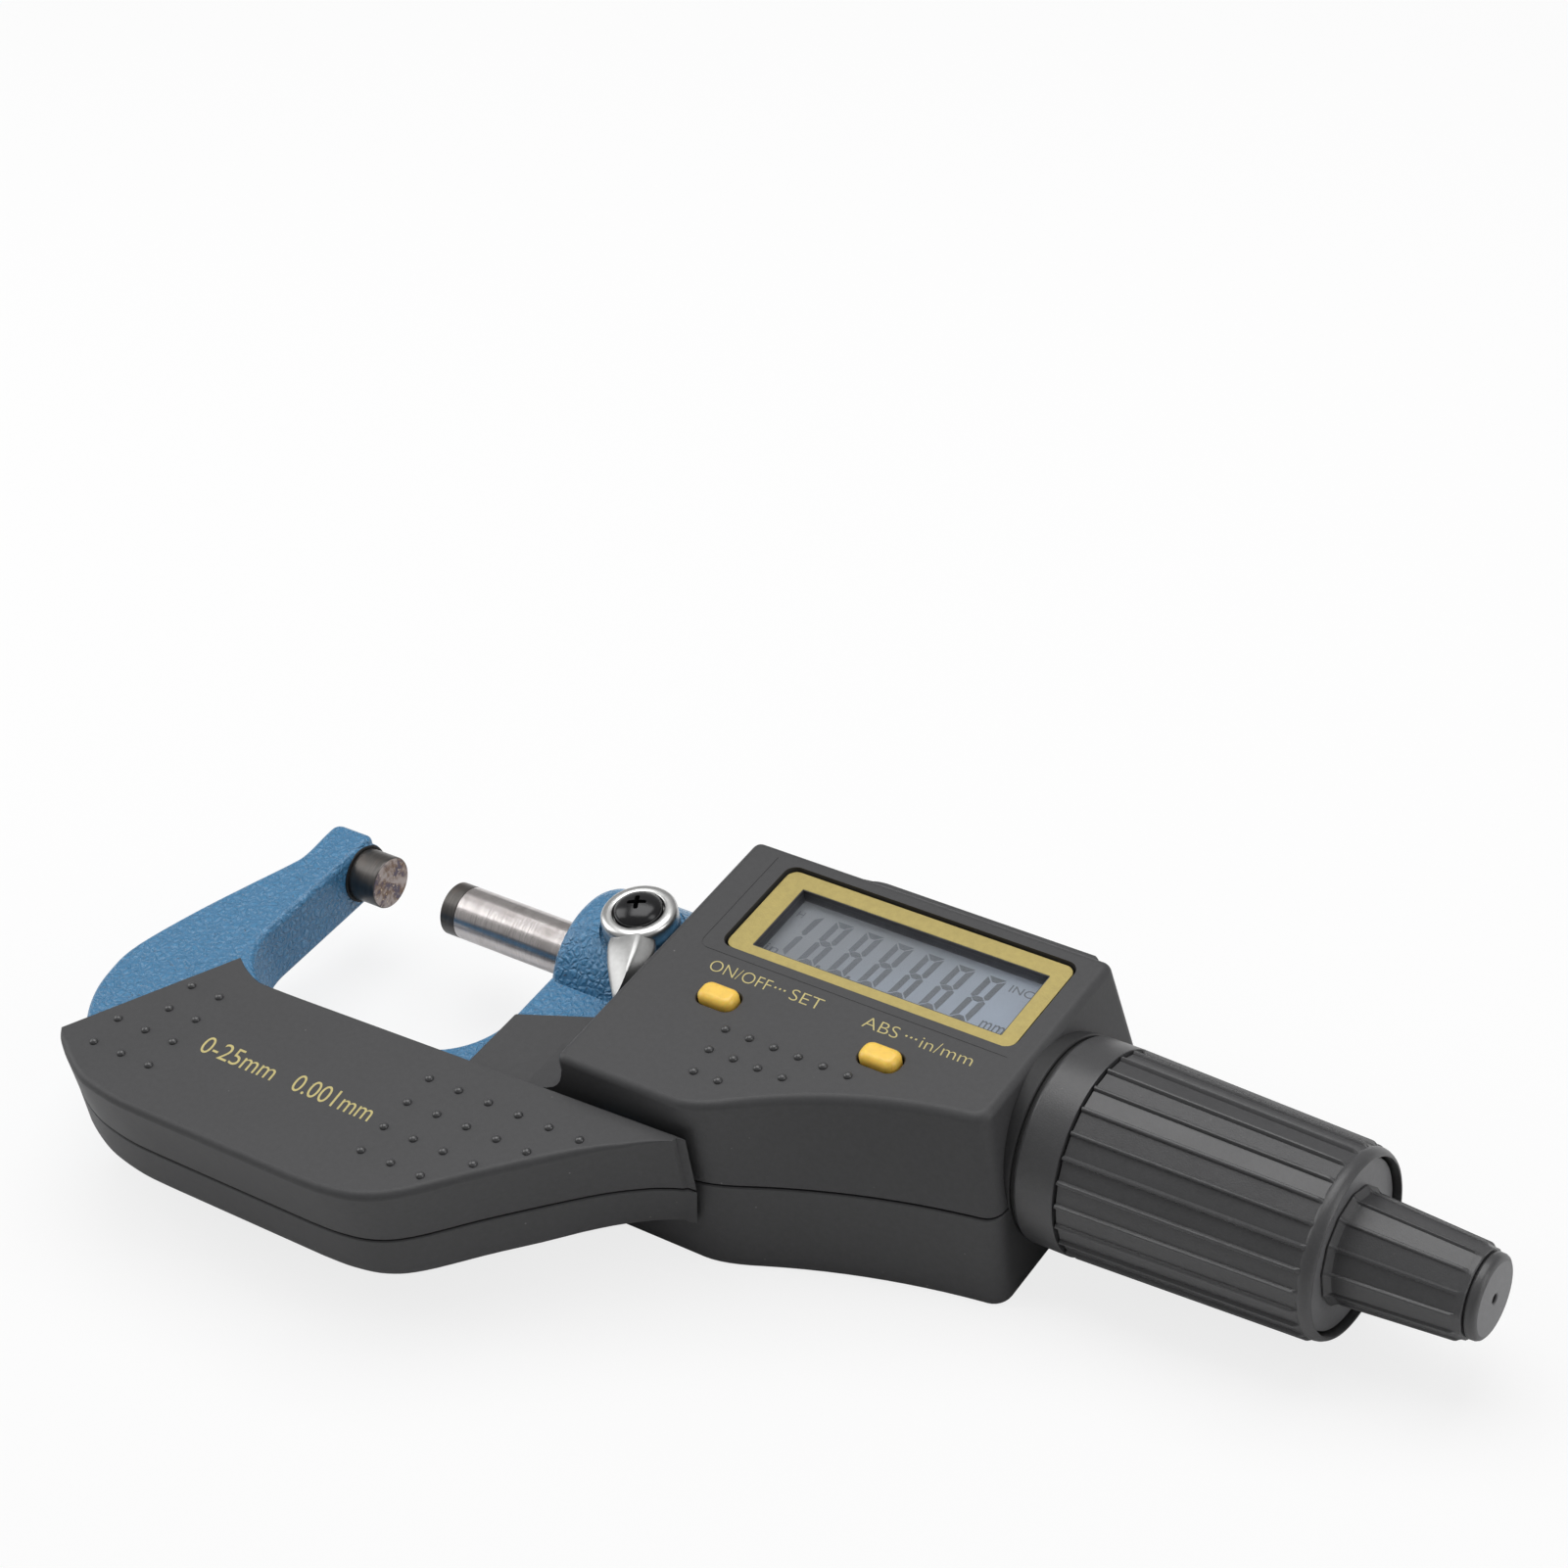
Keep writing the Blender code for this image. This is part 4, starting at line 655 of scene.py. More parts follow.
# The photo's angle, squared up and tilted a little to centre the object
right = Vector((0.8174, 0.5589, -0.1403)).normalized()
ahead = Vector((-0.5069, 0.5827, -0.6354))
ahead = (ahead - right * ahead.dot(right)).normalized()
ahead = (ahead - right.cross(ahead) * CAMERA_TILT).normalized()
above = right.cross(ahead)
turn = Matrix((right, above, -ahead)).transposed().to_4x4()
camera.matrix_world = Matrix.Translation((0.2610, -0.2247, 0.28485)) @ turn

for name, place, size, power in LAMPS:
    data = bpy.data.lights.new(name, "AREA")
    data.shape = "RECTANGLE"
    data.size, data.size_y = size
    data.energy = power
    lamp = bpy.data.objects.new(name, data)
    scene.collection.objects.link(lamp)
    lamp.location = place
    lamp.rotation_euler = (LAMP_AIM - Vector(place)).to_track_quat("-Z", "Y").to_euler()

# The backdrop is white to the camera and weaker for light and mirror rays.
world = bpy.data.worlds.new("studio")
scene.world = world
world.use_nodes = True
sky = Wiring(world.node_tree)
backdrop = world.node_tree.nodes["Background"].inputs
rays = sky.node("ShaderNodeLightPath").outputs
seen = sky.maths("MAXIMUM", rays["Is Camera Ray"], rays["Is Transmission Ray"])
glint = sky.times(rays["Is Glossy Ray"], 0.35)
sky.feed(backdrop["Strength"], sky.maths("MAXIMUM", seen, sky.maths("MAXIMUM", glint, 0.22)))
sky.feed(backdrop["Color"], (1.0, 1.0, 1.0))

# The floor glows a little to the camera, so it stays pale around a soft shadow.
floor_mat = bpy.data.materials.new("pale_floor")
floor_mat.use_nodes = True
ground = Wiring(floor_mat.node_tree)
floor_shader = floor_mat.node_tree.nodes["Principled BSDF"]
ground.feed(floor_shader.inputs["Base Color"], (0.88, 0.88, 0.88))
ground.feed(floor_shader.inputs["Roughness"], 0.9)
glow = ground.node("ShaderNodeEmission", ("Strength", 1.0))
rays = ground.node("ShaderNodeLightPath").outputs
mix = ground.node("ShaderNodeMixShader", (0, ground.times(rays["Is Camera Ray"], 0.80)),
                  (1, floor_shader.outputs[0]), (2, glow.outputs[0]))
ground.feed(floor_mat.node_tree.nodes["Material Output"].inputs["Surface"], mix.outputs[0])
floor_mesh = bpy.data.meshes.new("floor")
floor_mesh.from_pydata([(-3, -3, 0), (3, -3, 0), (3, 3, 0), (-3, 3, 0)], [], [(0, 1, 2, 3)])
floor_mesh.transform(Matrix.Translation((0, 0, (HOUSING_BACK - 0.02) * 0.001)))
floor_mesh.materials.append(floor_mat)
floor = bpy.data.objects.new("floor", floor_mesh)
scene.collection.objects.link(floor)


# Frame casting

def frame_outline():
    """The casting, throat first, counter-clockwise."""
    points = [(HUB_X, 5.0)]
    points += arc((HUB_X - 9.1, THROAT_FLOOR + 9.1), 9.1, 0, -90, 16)
    points += arc((-4.6 + 7.6, THROAT_FLOOR + 7.6), 7.6, -90, -180, 14)
    points += [(-4.0, 0.0), *arc((-5.0, 1.9), 1.0, 0, 90, 6), *arc((-8.7, 1.6), 1.3, 90, 180, 6)]
    points += smooth_path([(-10.0, 0.4), (-9.9, -3.4), (-10.5, -5.6), (-12.7, -10.6),
                           (-15.2, -16.5), (-17.4, -22.6), (-18.4, -26.6), (-18.3, -29.8),
                           (-17.5, -33.4), (-15.6, -37.0), (-12.5, -40.5), (-6.0, -44.6),
                           (2.0, -46.0)], 6)
    points += smooth_path([(31.5, -46.0), (37.4, -43.2), (44.0, -37.1), (51.2, -30.7),
                           (55.8, -27.6)], 4)
    points.append((55.8, 5.0))
    return points


def frame_mesh():
    """The casting: a bow, a head round the anvil and the hub, with their bores."""
    plate = slab(frame_outline(), -FRAME_HALF, FRAME_HALF, 0.85, 0.85, 5)
    head = turned([(-9.6, 0.0), (-9.6, 2.6), (-9.0, 3.5), (-8.4, 3.72), (-4.3, 3.72),
                   (-4.2, 3.62), (-4.2, 0.0)], 64)
    hub = turned([(HUB_X, 0.0), (HUB_X, HUB_R - 1.3), (HUB_X + 0.2, HUB_R - 0.75),
                  (HUB_X + 0.55, HUB_R - 0.35), (HUB_X + 1.1, HUB_R - 0.08), (HUB_X + 1.7, HUB_R),
                  (50.0, HUB_R), (50.0, 5.5), (62.0, 5.5), (62.0, 0.0)], 96)
    bore = turned([(HUB_X - 1, 0.0), (HUB_X - 1, 4.9), (63.0, 4.9), (63.0, 0.0)], 48)
    anvil_seat = turned([(-8.5, 0.0), (-8.5, 3.55), (1.0, 3.55), (1.0, 0.0)], 64)
    lever_seat = upright([(LOCK_SEAT_Z, 0.0), (LOCK_SEAT_Z, 5.0), (10.0, 5.0), (10.0, 0.0)],
                         (LOCK_X, 0, 0))
    return shaped(plate, ("join", head), ("join", hub), ("cut", bore), ("cut", anvil_seat),
                  ("cut", lever_seat))


put("frame_casting", frame_mesh(), blue_enamel, "frame", ["frame"], sharp=40)
put("anvil_rod", turned([(-8.2, 0.0), (-8.2, SPINDLE_R), (-0.16, SPINDLE_R),
                         (-0.06, SPINDLE_R - 0.05), (-0.05, SPINDLE_R - 0.14), (-0.05, 0.0)], 96),
    tip_metal, "frame", ["anvil"])
put("anvil_ground_face", turned([(-0.3, 0.0), (-0.3, SPINDLE_R - 0.13), (-0.03, SPINDLE_R - 0.13),
                                 (0.0, SPINDLE_R - 0.17), (0.0, 0.0)], 96),
    anvil_stain, "frame")
# A black ring in the gap round the anvil: painted shade in the gap.
put("anvil_gap_shade_ring", turned([(-8.4, 3.32), (-8.4, 3.6), (-4.3, 3.66), (-3.97, 3.62),
                               (-3.93, 3.5), (-3.95, 3.32)], 96),
    hidden_and_gap_shade_black, "frame")
put("guide_sleeve", turned([(HUB_X + 0.3, 3.5), (HUB_X + 0.3, 4.6), (61.7, 4.6), (61.7, 3.5)], 64),
    hidden_and_gap_shade_black, "frame", ["spindle_sleeve"])
tip_end = OPENING + TIP_LENGTH
put("spindle_hard_tip", turned([(OPENING, 0.0), (OPENING, SPINDLE_R - 0.12),
                                (OPENING + 0.12, SPINDLE_R), (tip_end - 0.06, SPINDLE_R),
                                (tip_end, SPINDLE_R - 0.06), (tip_end, 0.0)], 96),
    tip_metal, "spindle", ["spindle_tip"])
rod = turned([(tip_end + 0.05, 0.0), (tip_end + 0.05, SPINDLE_R - 0.05),
              (tip_end + 0.1, SPINDLE_R), (111.5, SPINDLE_R), (111.5, 0.0)], 96)
rod = shaped(rod, ("cut", block((70.0, -10, 2.6), (112, 10, 5))),
             ("cut", block((70.0, -10, -5), (112, 10, -2.6))))
put("spindle_rod", rod, spindle_steel, "spindle", ["spindle"])


# Lock lever and its screw

ring_low = LOCK_SEAT_Z + 0.3
lever_ring = upright([(ring_low, 2.3), (ring_low, RING_R - 0.35), (ring_low + 0.12, RING_R - 0.12),
                      (ring_low + 0.35, RING_R), (RING_TOP - 0.75, RING_R),
                      (RING_TOP - 0.42, RING_R - 0.08), (RING_TOP - 0.16, RING_R - 0.30),
                      (RING_TOP - 0.04, RING_R - 0.58), (RING_TOP, RING_R - 0.85),
                      (RING_TOP, 3.22), (RING_TOP - 0.06, 3.08), (RING_TOP - 0.2, 3.0),
                      (RING_TOP - 0.75, 2.95), (RING_TOP - 0.75, 2.3)], (LOCK_X, 0, 0), 96)


def lever_horn():
    """The lever's curved horn: two faces that meet in a ridge and bend to a point."""
    left = smooth_path([(38.9, -2.4, 10.9), (39.1, -3.9, 10.9), (39.5, -5.4, 10.7),
                        (40.8, -7.4, 10.2), (42.2, -9.1, 9.6), (43.4, -10.4, 9.2),
                        (44.2, -11.2, 9.0)], 5)
    ridge = smooth_path([(42.0, -1.8, 11.3), (42.7, -3.4, 11.4), (43.5, -5.3, 11.3),
                         (44.1, -7.3, 10.9), (44.5, -9.1, 10.3), (44.6, -10.4, 9.7),
                         (44.5, -11.2, 9.3)], 5)
    right = smooth_path([(43.3, -1.6, 10.3), (44.7, -3.3, 10.1), (45.2, -5.2, 9.9),
                         (45.05, -7.3, 9.5), (44.8, -9.1, 9.2), (44.66, -10.5, 9.0),
                         (44.55, -11.3, 8.8)], 5)
    rings = []
    for i, points in enumerate(zip(left, ridge, right)):
        west, top, east = (Vector(p) for p in points)
        t = i / (len(left) - 1)
        # The underside stays clear of the hub when the lever turns.
        low = 9.2 - 0.5 * t
        bulge = Vector((0, 0, 0.36 * (1 - t)))
        west = west - Vector((0, 0, 0.45 * (1 - t)))
        section = [Vector((west.x + 0.15, west.y, low)), west - Vector((0.05, 0, 0.40)),
                   west - Vector((0.03, 0, 0.12))]
        section += [west.lerp(top, share) + bulge * lift for share, lift in
                    ((0.06, 0.25), (0.22, 0.70), (0.45, 1.0), (0.70, 0.85), (0.88, 0.5))]
        section += [top.lerp(east, share) + bulge * lift for share, lift in
                    ((0.0, 0.1), (0.12, 0.08), (0.3, 0.15), (0.6, 0.3), (0.85, 0.15))]
        section += [east, east - Vector((0.02, 0, 0.3)), Vector((east.x - 0.1, east.y, low))]
        rings.append(section)
    return loft(rings)


put("lever_ring", lever_ring, lever_chrome, "lock", ["lock_lever"], sharp=50)
# The horn is the lever ring's chrome, painted darker as shade.
put("lever_horn", lever_horn(), horn_shaded_chrome, "lock", sharp=75)

dome = [(RING_TOP - 0.7, 0.0), (RING_TOP - 0.7, 2.8), (RING_TOP - 0.25, 2.90),
        (RING_TOP - 0.12, 2.86)]
for k in range(1, 9):
    a = radians(90 - 80 * k / 9)
    dome.append((RING_TOP - 0.12 + 1.38 * cos(a), 2.86 * sin(a)))
dome.append((RING_TOP + 1.27, 0.0))
screw_head = upright(dome, (LOCK_X, 0, 0), 72)
arm = round_box((-1.12, -0.27), (1.12, 0.27), 0.2, 4)
for angle in (28, 118):
    recess = loft([ring_at(arm, RING_TOP - 0.1, 0.12), ring_at(arm, RING_TOP + 2.0, -0.10)])
    moved(recess, Matrix.Rotation(radians(angle), 4, "Z"), Matrix.Translation((LOCK_X, 0, 0)))
    screw_head = shaped(screw_head, ("cut", recess))
put("lever_screw", screw_head, black_screw, "lock", ["lock_screw"], sharp=40)


# Grip shells

def grip_outline():
    """The grip from its left corner, counter-clockwise, and what varies along it.

    Besides the points these are the share of the edge's rounding, how far the front wall
    leans outwards, and how much shorter the back shell is.
    """
    low_left = smooth_path([(-12.5, -43.0), (-11.2, -44.4), (-8.1, -46.1), (-4.3, -47.5),
                            (0.5, -48.3), (5.0, -48.45)], 6)
    low_right = smooth_path([(28.0, -48.4), (32.2, -48.15), (36.2, -47.2), (39.9, -44.8),
                             (45.9, -38.6), (54.0, -30.9), (58.5, -27.5), (61.0, -26.1),
                             (62.5, -25.5)], 5)
    upper = smooth_path([(62.8, -25.2), (62.6, -24.9), (45.0, -25.4), (20.0, -26.3), (6.2, -26.7),
                         (3.4, -26.5), (0.9, -25.5), (-0.9, -24.4)], 5)
    points = [*low_left, *low_right, *upper]
    low = len(points) - len(upper)
    soft = []
    flare = []
    short = []
    for i, ((x, _y), move) in enumerate(zip(points, inward(points))):
        share = 0.2 if i >= low else 0.1 if i == low - 1 else min(
            1.0, max(0.10, (63.6 - x) / 5.0), 0.12 + (x + 12.5) * 0.4)
        soft.append(min(share, max(0.08, (63.8 - x) / 12.0)))
        lean = 0.85 * min(1.0, (x + 12.5) / 8.0, 0.35 + (63.0 - x) / 8.0) if i < low else 0.0
        flare.append(move * -lean)
        tip = max(0.0, (x - 50.0) / 13.0)
        short.append(Vector((-1.3 * tip, 0.75 * tip if i < low else 0.35 * tip)))
    return points, soft, flare, short


def shell_rings(points, soft, spread, face, seam, radius, steps=6):
    """Rings from the seam to a face, with an edge whose rounding varies along the outline.

    The spread of a point is how far it has moved at the face.
    """
    side = 1 if face > seam else -1
    moves = inward(points)
    rings = [ring_at(points, seam, 0.12), ring_at(points, seam + side * 0.14)]
    for k in range(steps + 1):
        a = pi / 2 * k / steps
        ring = []
        for (x, y), move, share, lean in zip(points, moves, soft, spread):
            r = radius * share
            spot = Vector((x, y)) + move * r * (1 - cos(a)) + lean
            ring.append((spot.x, spot.y, face - side * r * (1 - sin(a))))
        rings.append(ring)
    return rings


grip_points, grip_soft, grip_flare, grip_short = grip_outline()
grip_room = slab(frame_outline(), -FRAME_HALF - 0.15, FRAME_HALF + 0.15)
for name, spread, face, seam, radius in (("grip_front", grip_flare, GRIP_TOP, SEAM, 0.9),
                                         ("grip_back", grip_short, GRIP_BACK, -SEAM, 1.5)):
    rings = shell_rings(grip_points, grip_soft, spread, face, seam, radius)
    put(name + "_shell", shaped(loft(rings), ("cut", grip_room)), shell_plastic, "frame", [name])


# Housing shells

def housing_ring(z):
    """The housing's outline at a height, with its draft."""
    above = max(0.0, z) / HOUSING_TOP
    under = min(0.0, z) / HOUSING_BACK
    left = 45.5 + 0.6 * above
    right = 95.8 - 2.0 * above
    floor_y = -23.9 - 0.3 * under
    sag = 1.3 + 1.1 * above
    corner = Vector((64.6, floor_y))
    end = Vector((right, -14.15 + 2.9 * above - 1.15 * under))
    chord = end - corner
    side = Vector((-chord.y, chord.x)).normalized()
    sweep = [corner + chord * s + side * (4 * sag * s * (1 - s))
             for s in (k / 14 for k in range(14))]
    # The crease is eased over a few millimetres on both sides.
    start = corner - Vector((2.6, 0))
    eased = [(1 - s) ** 2 * start + 2 * s * (1 - s) * corner + s ** 2 * sweep[2]
             for s in (k / 6 for k in range(7))]
    points = [(left, floor_y, 1.1)]
    points += [(p.x, p.y, 0.0) for p in (*eased, *sweep[3:])]
    points += [(end.x, end.y, 2.2), (right, HOUSING_WALL_Y, 1.2), (left, HOUSING_WALL_Y, 1.1)]
    return rounded_path(points, 6)


def housing_shell(side):
    """The front (1) or back (-1) half of the housing, solid, from the seam to its face."""
    face, radius, levels = ((HOUSING_TOP, 0.95, (3.0, 6.0, 9.0)) if side > 0
                            else (HOUSING_BACK, 0.5, (-4.0, -8.0)))
    rings = [ring_at(housing_ring(side * SEAM), side * SEAM, 0.13)]
    rings += [ring_at(housing_ring(z), z) for z in (side * (SEAM + 0.15), *levels)]
    for k in range(8):
        a = pi / 2 * k / 7
        z = face - side * radius * (1 - sin(a))
        rings.append(ring_at(housing_ring(z), z, radius * (1 - cos(a))))
    return loft(rings)


def corner_fillet():
    """The small sweep where the housing's lower left corner runs out on the flange."""
    section = [(47.5, 4.9), (47.5, 10.6), (46.6, 9.8), (46.35, 8.9), (46.0, 8.0), (45.45, 7.2),
               (44.7, 6.5), (43.6, 5.9), (42.2, 5.4), (40.5, 5.15), (40.5, 4.9)]
    return loft([[(x, y, z) for x, z in section] for y in (-23.87, -17.0)])


def panel_line():
    """The fine groove that frames the display field on the left and below."""
    lines = [[(50.15 + width, 13.9), *arc((51.5, -0.9), 1.35 - width, 180, 270, 8),
              (91.0, -2.25 + width)] for width in (0.0, 0.14)]
    return slab([*lines[0], *reversed(lines[1])], HOUSING_TOP - 0.05, HOUSING_TOP + 1.0)


def flange(side):
    """The low flange beside the web, which the grip overlaps."""
    outline = rounded_path([(32.2, -25.2, 0.2), (49.0, -25.2, 0.1),
                            (49.0, -8.3, 0.1), (32.4, -15.3, 0.35)], 4)
    edges = (0.22, 0.0) if side > 0 else (0.0, 0.22)
    return slab(outline, *sorted((side * 2.5, side * 5.1)), *edges)


def button_slot(x):
    """What is cut out round a button."""
    slot = round_box((x - 2.58, -9.95), (x + 2.66, -6.68), 1.3, 8)
    return loft([ring_at(slot, 8.6), ring_at(slot, 11.85), ring_at(slot, 12.0, -0.12),
                 ring_at(slot, 13.0, -0.12)])


# Room for the hub and for the thimble's journal, cut out of both halves
hub_room = turned([(30, 0.0), (30, HUB_R + 0.3), (50.3, HUB_R + 0.3), (50.3, 0.0)], 64)
core_room = turned([(88, 0.0), (88, 8.3), (98, 8.3), (98, 0.0)], 48)
bezel_slot = round_box((52.2, -0.9), (90.9, 13.6), 1.5, 8)
front = shaped(housing_shell(1), ("join", flange(1)), ("join", corner_fillet()),
               ("cut", panel_line()), ("cut", block((30, -27, -1), (56.1, 5.3, 4.3))),
               ("cut", hub_room), ("cut", slab(bezel_slot, 9.2, 13.0)), ("cut", core_room))
for button_x in BUTTON_X:
    front = shaped(front, ("cut", button_slot(button_x)))
put("housing_front_shell", front, shell_plastic, "frame", ["housing_front"])
# The shoulder is the housing's own plastic, painted darker as shade before the collar.
put("housing_shoulder", turned([(90.0, 8.4), (90.0, 11.3), (93.0, 11.5), (94.6, 11.6),
                                (95.4, 11.75), (95.75, 11.75), (95.85, 11.6), (95.85, 8.4)], 128),
    shaded_shoulder_plastic, "frame")
back = shaped(housing_shell(-1), ("join", flange(-1)),
              ("cut", block((30, -27, -4.3), (56.1, 5.3, 1))), ("cut", hub_room),
              ("cut", core_room))
put("housing_back_shell", back, shell_plastic, "frame", ["housing_back"])

cover_outline = [(60.0, 15.45), *smooth_path([(91.9, 15.45), (91.5, 16.15), (90.9, 16.58)], 4),
                 *smooth_path([(63.4, 16.62), (62.2, 16.45), (61.0, 15.95), (60.0, 15.62)], 4)]
cover = slab(cover_outline, -7.5, 11.1, 0.4, 0.4, 4)
put("battery_cover_shell", cover, shell_plastic, "battery_cover", ["battery_cover"])


# Display

bezel = slab(round_box((52.55, -0.58), (90.55, 13.28), 1.3, 10), 11.1, 11.62, 0.08, 0.0, 2)
window_hole = round_box((55.6, 0.75), (88.5, 11.0), 0.15, 3)
put("bezel_plate", shaped(bezel, ("cut", slab(window_hole, 10, 13))), frame_gold, "frame",
    ["display_bezel"])
surround = round_box((54.6, -0.2), (89.5, 12.9), 0.2, 3)
room = round_box((54.7, 0.3), (89.0, 11.2), 0.15, 3)
outer, inner = ([(x, y) for x, y, _z in ring_at(window_hole, 0, shrink)]
                for shrink in (-0.05, 0.12))
for name, wall, hole, low, high in (("window_surround", surround, room, 9.6, 11.05),
                                    ("window_lining", outer, inner, 9.8, 11.57)):
    put(name, shaped(slab(wall, low, high), ("cut", slab(hole, 9.0, 12.0))), window_wall, "frame")
put("lcd_glass", block((54.2, 0.0, 7.7), (89.3, 12.6, LCD_Z)), lcd_back, "frame", ["lcd_panel"])
put("window_pane", slab(window_hole, 10.85, 11.05), window_clear, "frame", ["display_window"])

SLANT = 0.093
DIGIT_H = 7.5
DIGIT_W = 2.35
DIGIT_X = 56.3
DIGIT_Y = 2.1
DIGIT_STEP = 4.05
SEGMENT_W = 0.78
SEGMENT_GAP = 0.10
DOT_R = 0.28
PRINT_HALF = 0.006
CAPITAL_SHARE = 0.70


def segment_shapes():
    """The seven segments of a digit as outlines about its lower left corner."""
    w, h, s, g = DIGIT_W, DIGIT_H, SEGMENT_W, SEGMENT_GAP
    m = h / 2
    flat = [[(g, 0), (w - g, 0), (w - s - g, s), (s + g, s)],
            [(g + 0.25, m), (s + g, m + s / 2), (w - s - g, m + s / 2), (w - g - 0.25, m),
             (w - s - g, m - s / 2), (s + g, m - s / 2)],
            [(s + g, h - s), (w - s - g, h - s), (w - g, h), (g, h)],
            [(0, g + 0.1), (s, s + g), (s, m - s / 2 - g), (s * 0.45, m - g), (0, m - g - 0.2)],
            [(0, m + g + 0.2), (s * 0.45, m + g), (s, m + s / 2 + g), (s, h - s - g),
             (0, h - g - 0.1)]]
    mirrored = [[(w - x, y) for x, y in reversed(shape)] for shape in flat[3:]]
    return flat + mirrored


def print_mesh(shapes, z, thickness=0.02):
    """Thin raised print from outlines."""
    bm = bmesh.new()
    for shape in shapes:
        base = bm.faces.new([bm.verts.new((x, y, z)) for x, y in shape])
        if base.calc_area() and base.normal.z < 0:
            base.normal_flip()
    made = bmesh.ops.extrude_face_region(bm, geom=list(bm.faces))
    for vert in made["geom"]:
        if isinstance(vert, bmesh.types.BMVert):
            vert.co.z += thickness
    bmesh.ops.recalc_face_normals(bm, faces=bm.faces)
    mesh = bpy.data.meshes.new("print")
    bm.to_mesh(mesh)
    bm.free()
    return mesh


# The first place shows only its two upright segments on the right.
digits = []
for number in range(7):
    left_x = DIGIT_X + DIGIT_STEP * number
    for shape in segment_shapes()[5 if number == 0 else 0:]:
        digits.append([(left_x + x + SLANT * y, DIGIT_Y + y) for x, y in shape])
for number in (1, 2):
    dot_x = DIGIT_X + DIGIT_STEP * number + 2.85
    digits.append(arc((dot_x, DIGIT_Y + 0.25), DOT_R, 0, 330, 11))
put("lcd_digits", print_mesh(digits, LCD_Z), lcd_ink, "frame", weigh=False)


def lettering(name, words, low, high, z, mat=letter_gold, lean=0.0,
              weight=0.0):
    """Printed words that fill a box from its lower left to its upper right corner."""
    data = bpy.data.curves.new(name, "FONT")
    data.body = words
    data.size = (high[1] - low[1]) / CAPITAL_SHARE
    data.extrude = PRINT_HALF
    data.offset = weight
    data.resolution_u = 6
    obj = bpy.data.objects.new(name, data)
    scene.collection.objects.link(obj)
    mesh = evaluated(obj)
    bpy.data.objects.remove(obj)
    starts = [min(v.co[axis] for v in mesh.vertices) for axis in (0, 1)]
    fit = [(high[axis] - low[axis]) / (max(v.co[axis] for v in mesh.vertices) - starts[axis])
           for axis in (0, 1)]
    shear = Matrix(((1, lean, 0, 0), (0, 1, 0, 0), (0, 0, 1, 0), (0, 0, 0, 1)))
    moved(mesh, Matrix.Translation((-starts[0], -starts[1], 0)), Matrix.Diagonal((*fit, 1, 1)),
          shear, Matrix.Translation((*low, z + PRINT_HALF)))
    put(name, mesh, mat, "frame", weigh=False)


for name, words, low, high in (("lcd_mark_in", "in", (55.9, 2.1), (57.6, 3.2)),
                               ("lcd_mark_hold", "H", (56.2, 8.3), (57.0, 9.2)),
                               ("lcd_mark_inc", "INC", (84.5, 8.3), (87.4, 9.4)),
                               ("lcd_mark_mm", "mm", (84.4, 2.05), (87.4, 3.25))):
    lettering(name, words, low, high, LCD_Z + 0.01, lcd_ink)
for name, words, start_x, end_x in (("mark_on_off", "ON/OFF", 53.6, 61.8),
                                    ("mark_set", "SET", 64.5, 68.7),
                                    ("mark_abs", "ABS", 74.2, 78.7),
                                    ("mark_in_mm", "in/mm", 81.6, 88.2)):
    lettering(name, words, (start_x, -5.05), (end_x, -3.42), HOUSING_TOP, lean=-0.16,
              weight=-0.035)
dots = [[(x, -4.28), (x + 0.24, -4.28), (x + 0.24, -4.05), (x, -4.05)]
        for x in (start_x + 0.62 * k for start_x in (62.1, 79.4) for k in range(3))]
put("mark_dots", print_mesh(dots, HOUSING_TOP, 0.01), letter_gold, "frame",
    weigh=False)
for name, words, start_x, end_x in (("mark_range", "0-25mm", 5.0, 15.9),
                                    ("mark_resolution", "0.001mm", 18.8, 30.2)):
    lettering(name, words, (start_x, -38.7), (end_x, -36.2), GRIP_TOP, lean=-0.1, weight=-0.015)


# Buttons

for name, button_x in zip(("button_power", "button_mode"), BUTTON_X):
    outline = round_box((button_x - 2.38, -9.75), (button_x + 2.38, -6.85), 1.15, 8)
    put(name + "_key", slab(outline, 9.3, 13.0, 0.85, 0.0, 8), button_amber, name, [name],
        sharp=60)


# Pips

def pip_field(name, rows, z):
    """Pips in rows of (first x, step, how many, y) on a face at a height."""
    mesh = bpy.data.meshes.new(name)
    mesh.from_pydata([(x + step * k, y, z) for x, step, count, y in rows for k in range(count)],
                     [], [])
    made = grown(pips, mesh, {"Radius": 0.52, "Height": 0.42, "Material": pip_plastic})
    put(name, made, pip_plastic, "frame", weigh=False)


pip_field("housing_pips", [(61.0, 3.23, 6, -12.1), (61.2, 3.23, 4, -15.5), (61.6, 3.23, 2, -19.0)],
          HOUSING_TOP)
pip_field("grip_pips", [(32.4, 4.22, 6, -30.2), (32.5, 4.2, 5, -34.25), (32.5, 4.2, 4, -38.4),
                        (32.5, 4.2, 3, -42.4), (-2.9, 4.3, 2, -30.8), (-2.8, 4.2, 2, -34.9),
                        (-7.2, 4.3, 3, -38.9), (-7.2, 4.3, 3, -43.1)], GRIP_TOP)


# Thimble

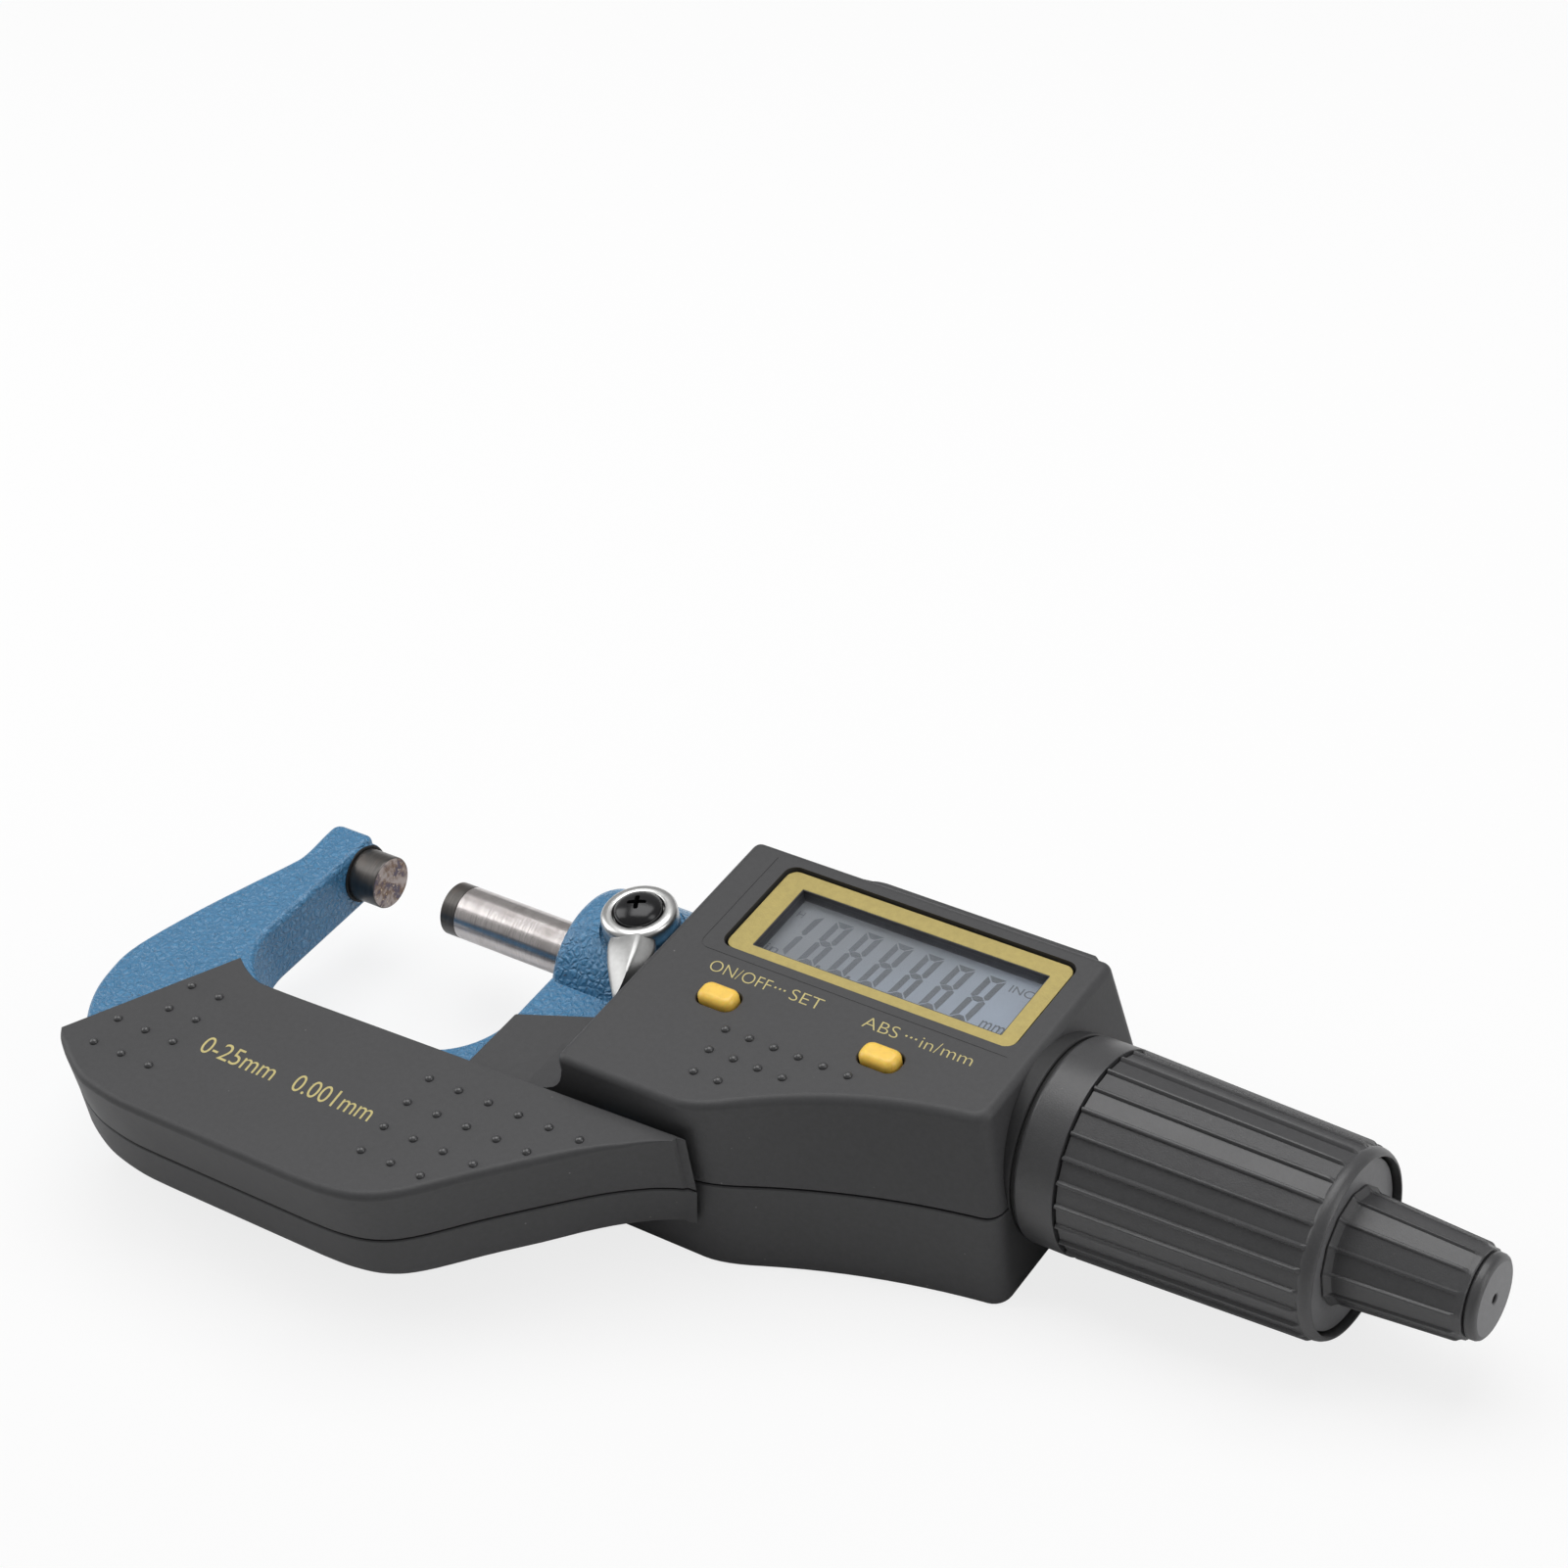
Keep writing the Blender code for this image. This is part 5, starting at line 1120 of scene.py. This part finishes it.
collar = turned([(86.0, 3.6), (86.0, 4.3), (96.2, 4.3), (96.2, COLLAR_R - 0.55),
                 (96.28, COLLAR_R - 0.30), (96.48, COLLAR_R - 0.09), (96.8, COLLAR_R),
                 (101.1, COLLAR_R + 0.02), (101.22, COLLAR_R - 0.03), (101.25, COLLAR_R - 0.12),
                 (101.25, 9.2), (127.7, 9.2), (127.7, 8.0), (104.0, 8.0), (104.0, 3.6)], 128)
put("thimble_collar", collar, thimble_plastic, "thimble", ["thimble_core"])
# A black ring fills the gap before the collar as painted shade.
put("collar_gap_shade", turned([(95.6, 8.5), (95.6, 11.3), (96.5, 11.3), (96.5, 8.5)], 96),
    hidden_and_gap_shade_black, "thimble")
stations = [(101.5 + 27.4 * k / 8, 11.43 - 0.86 * k / 8, RIB_HEIGHT) for k in range(9)]
stations += [(129.15, 10.56, 0.34), (129.4, 10.55, 0.2), (129.6, 10.54, 0.04), (129.9, 10.5, 0.0)]
put("thimble_barrel", ribbed(stations, RIB_COUNT, RIB_PHASE, 0.32, 9.85), thimble_plastic,
    "thimble", ["thimble_grip"], sharp=24)
lip = turned([(129.2, 9.8), (129.2, 10.35), (129.45, 10.52), (129.75, 10.61), (130.0, 10.62),
              (130.35, 10.55), (130.7, 10.38), (130.93, 10.2), (131.03, 10.02), (131.0, 9.88),
              (130.85, 9.8)], 128)
put("thimble_lip", lip, thimble_plastic, "thimble")
# A black ring fills the gap under the lip as painted shade.
put("lip_gap_shade", turned([(128.6, 8.4), (128.6, 9.9), (129.0, 9.9), (129.0, 8.4)], 96),
    hidden_and_gap_shade_black, "thimble")
disc = turned([(127.9, 1.8), (127.9, 9.55), (129.95, 9.55), (130.12, 9.5), (130.18, 9.35),
               (130.18, 1.8)], 128)
put("end_disc", disc, disc_plastic, "thimble", ["thimble_end_disc"])


# Ratchet

stations = [(130.25, 6.6, 0.0), (130.45, 6.62, 0.02), (130.8, 6.25, 0.12), (131.1, 6.02, 0.22)]
stations += [(131.5 + 12.4 * k / 6, 5.95 - 0.78 * k / 6, 0.28) for k in range(7)]
stations += [(144.15, 5.14, 0.22), (144.4, 5.10, 0.05), (144.6, 5.04, 0.0), (145.0, 5.0, 0.0),
             (145.1, 4.85, 0.0)]
put("ratchet_knob_ribbed", ribbed(stations, KNOB_RIBS, KNOB_PHASE, 0.26, 1.8), thimble_plastic,
    "ratchet", ["ratchet_knob"], sharp=24)
cap = turned([(145.0, 0.0), (145.0, 4.3), (145.22, 4.4), (145.27, 4.62), (145.45, 4.74),
              (146.0, 4.72), (146.25, 4.6), (146.42, 4.36), (146.48, 4.1), (146.48, 0.62),
              (146.42, 0.52), (145.9, 0.5), (145.9, 0.0)], 96)
put("ratchet_end_cap", cap, thimble_plastic, "ratchet", ["ratchet_cap"])
put("cap_face", turned([(146.3, 0.66), (146.3, 4.1), (146.5, 4.08), (146.53, 4.0), (146.53, 0.72),
                        (146.5, 0.66)], 96), disc_plastic, "ratchet")


# What stays as packed gets its finish

finishes = {
    brass_turned: ("spindle_nut", "clamp_pad", "battery_contact", "thimble_bearing"),
    spindle_steel: ("clamp_screw", "battery", "ratchet_shaft", "click_wheel", "ratchet_spring"),
    board_mask: ("circuit_board", "encoder_stator", "encoder_rotor"),
    black_screw: ("switch_power", "switch_mode", "grip_screw_1", "grip_screw_2",
                  *(f"housing_screw_{number}" for number in range(1, 5)))}
for mat, names in finishes.items():
    for name in names:
        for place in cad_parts[name].material_slots:
            place.material = mat

scene.view_settings.view_transform = "Standard"
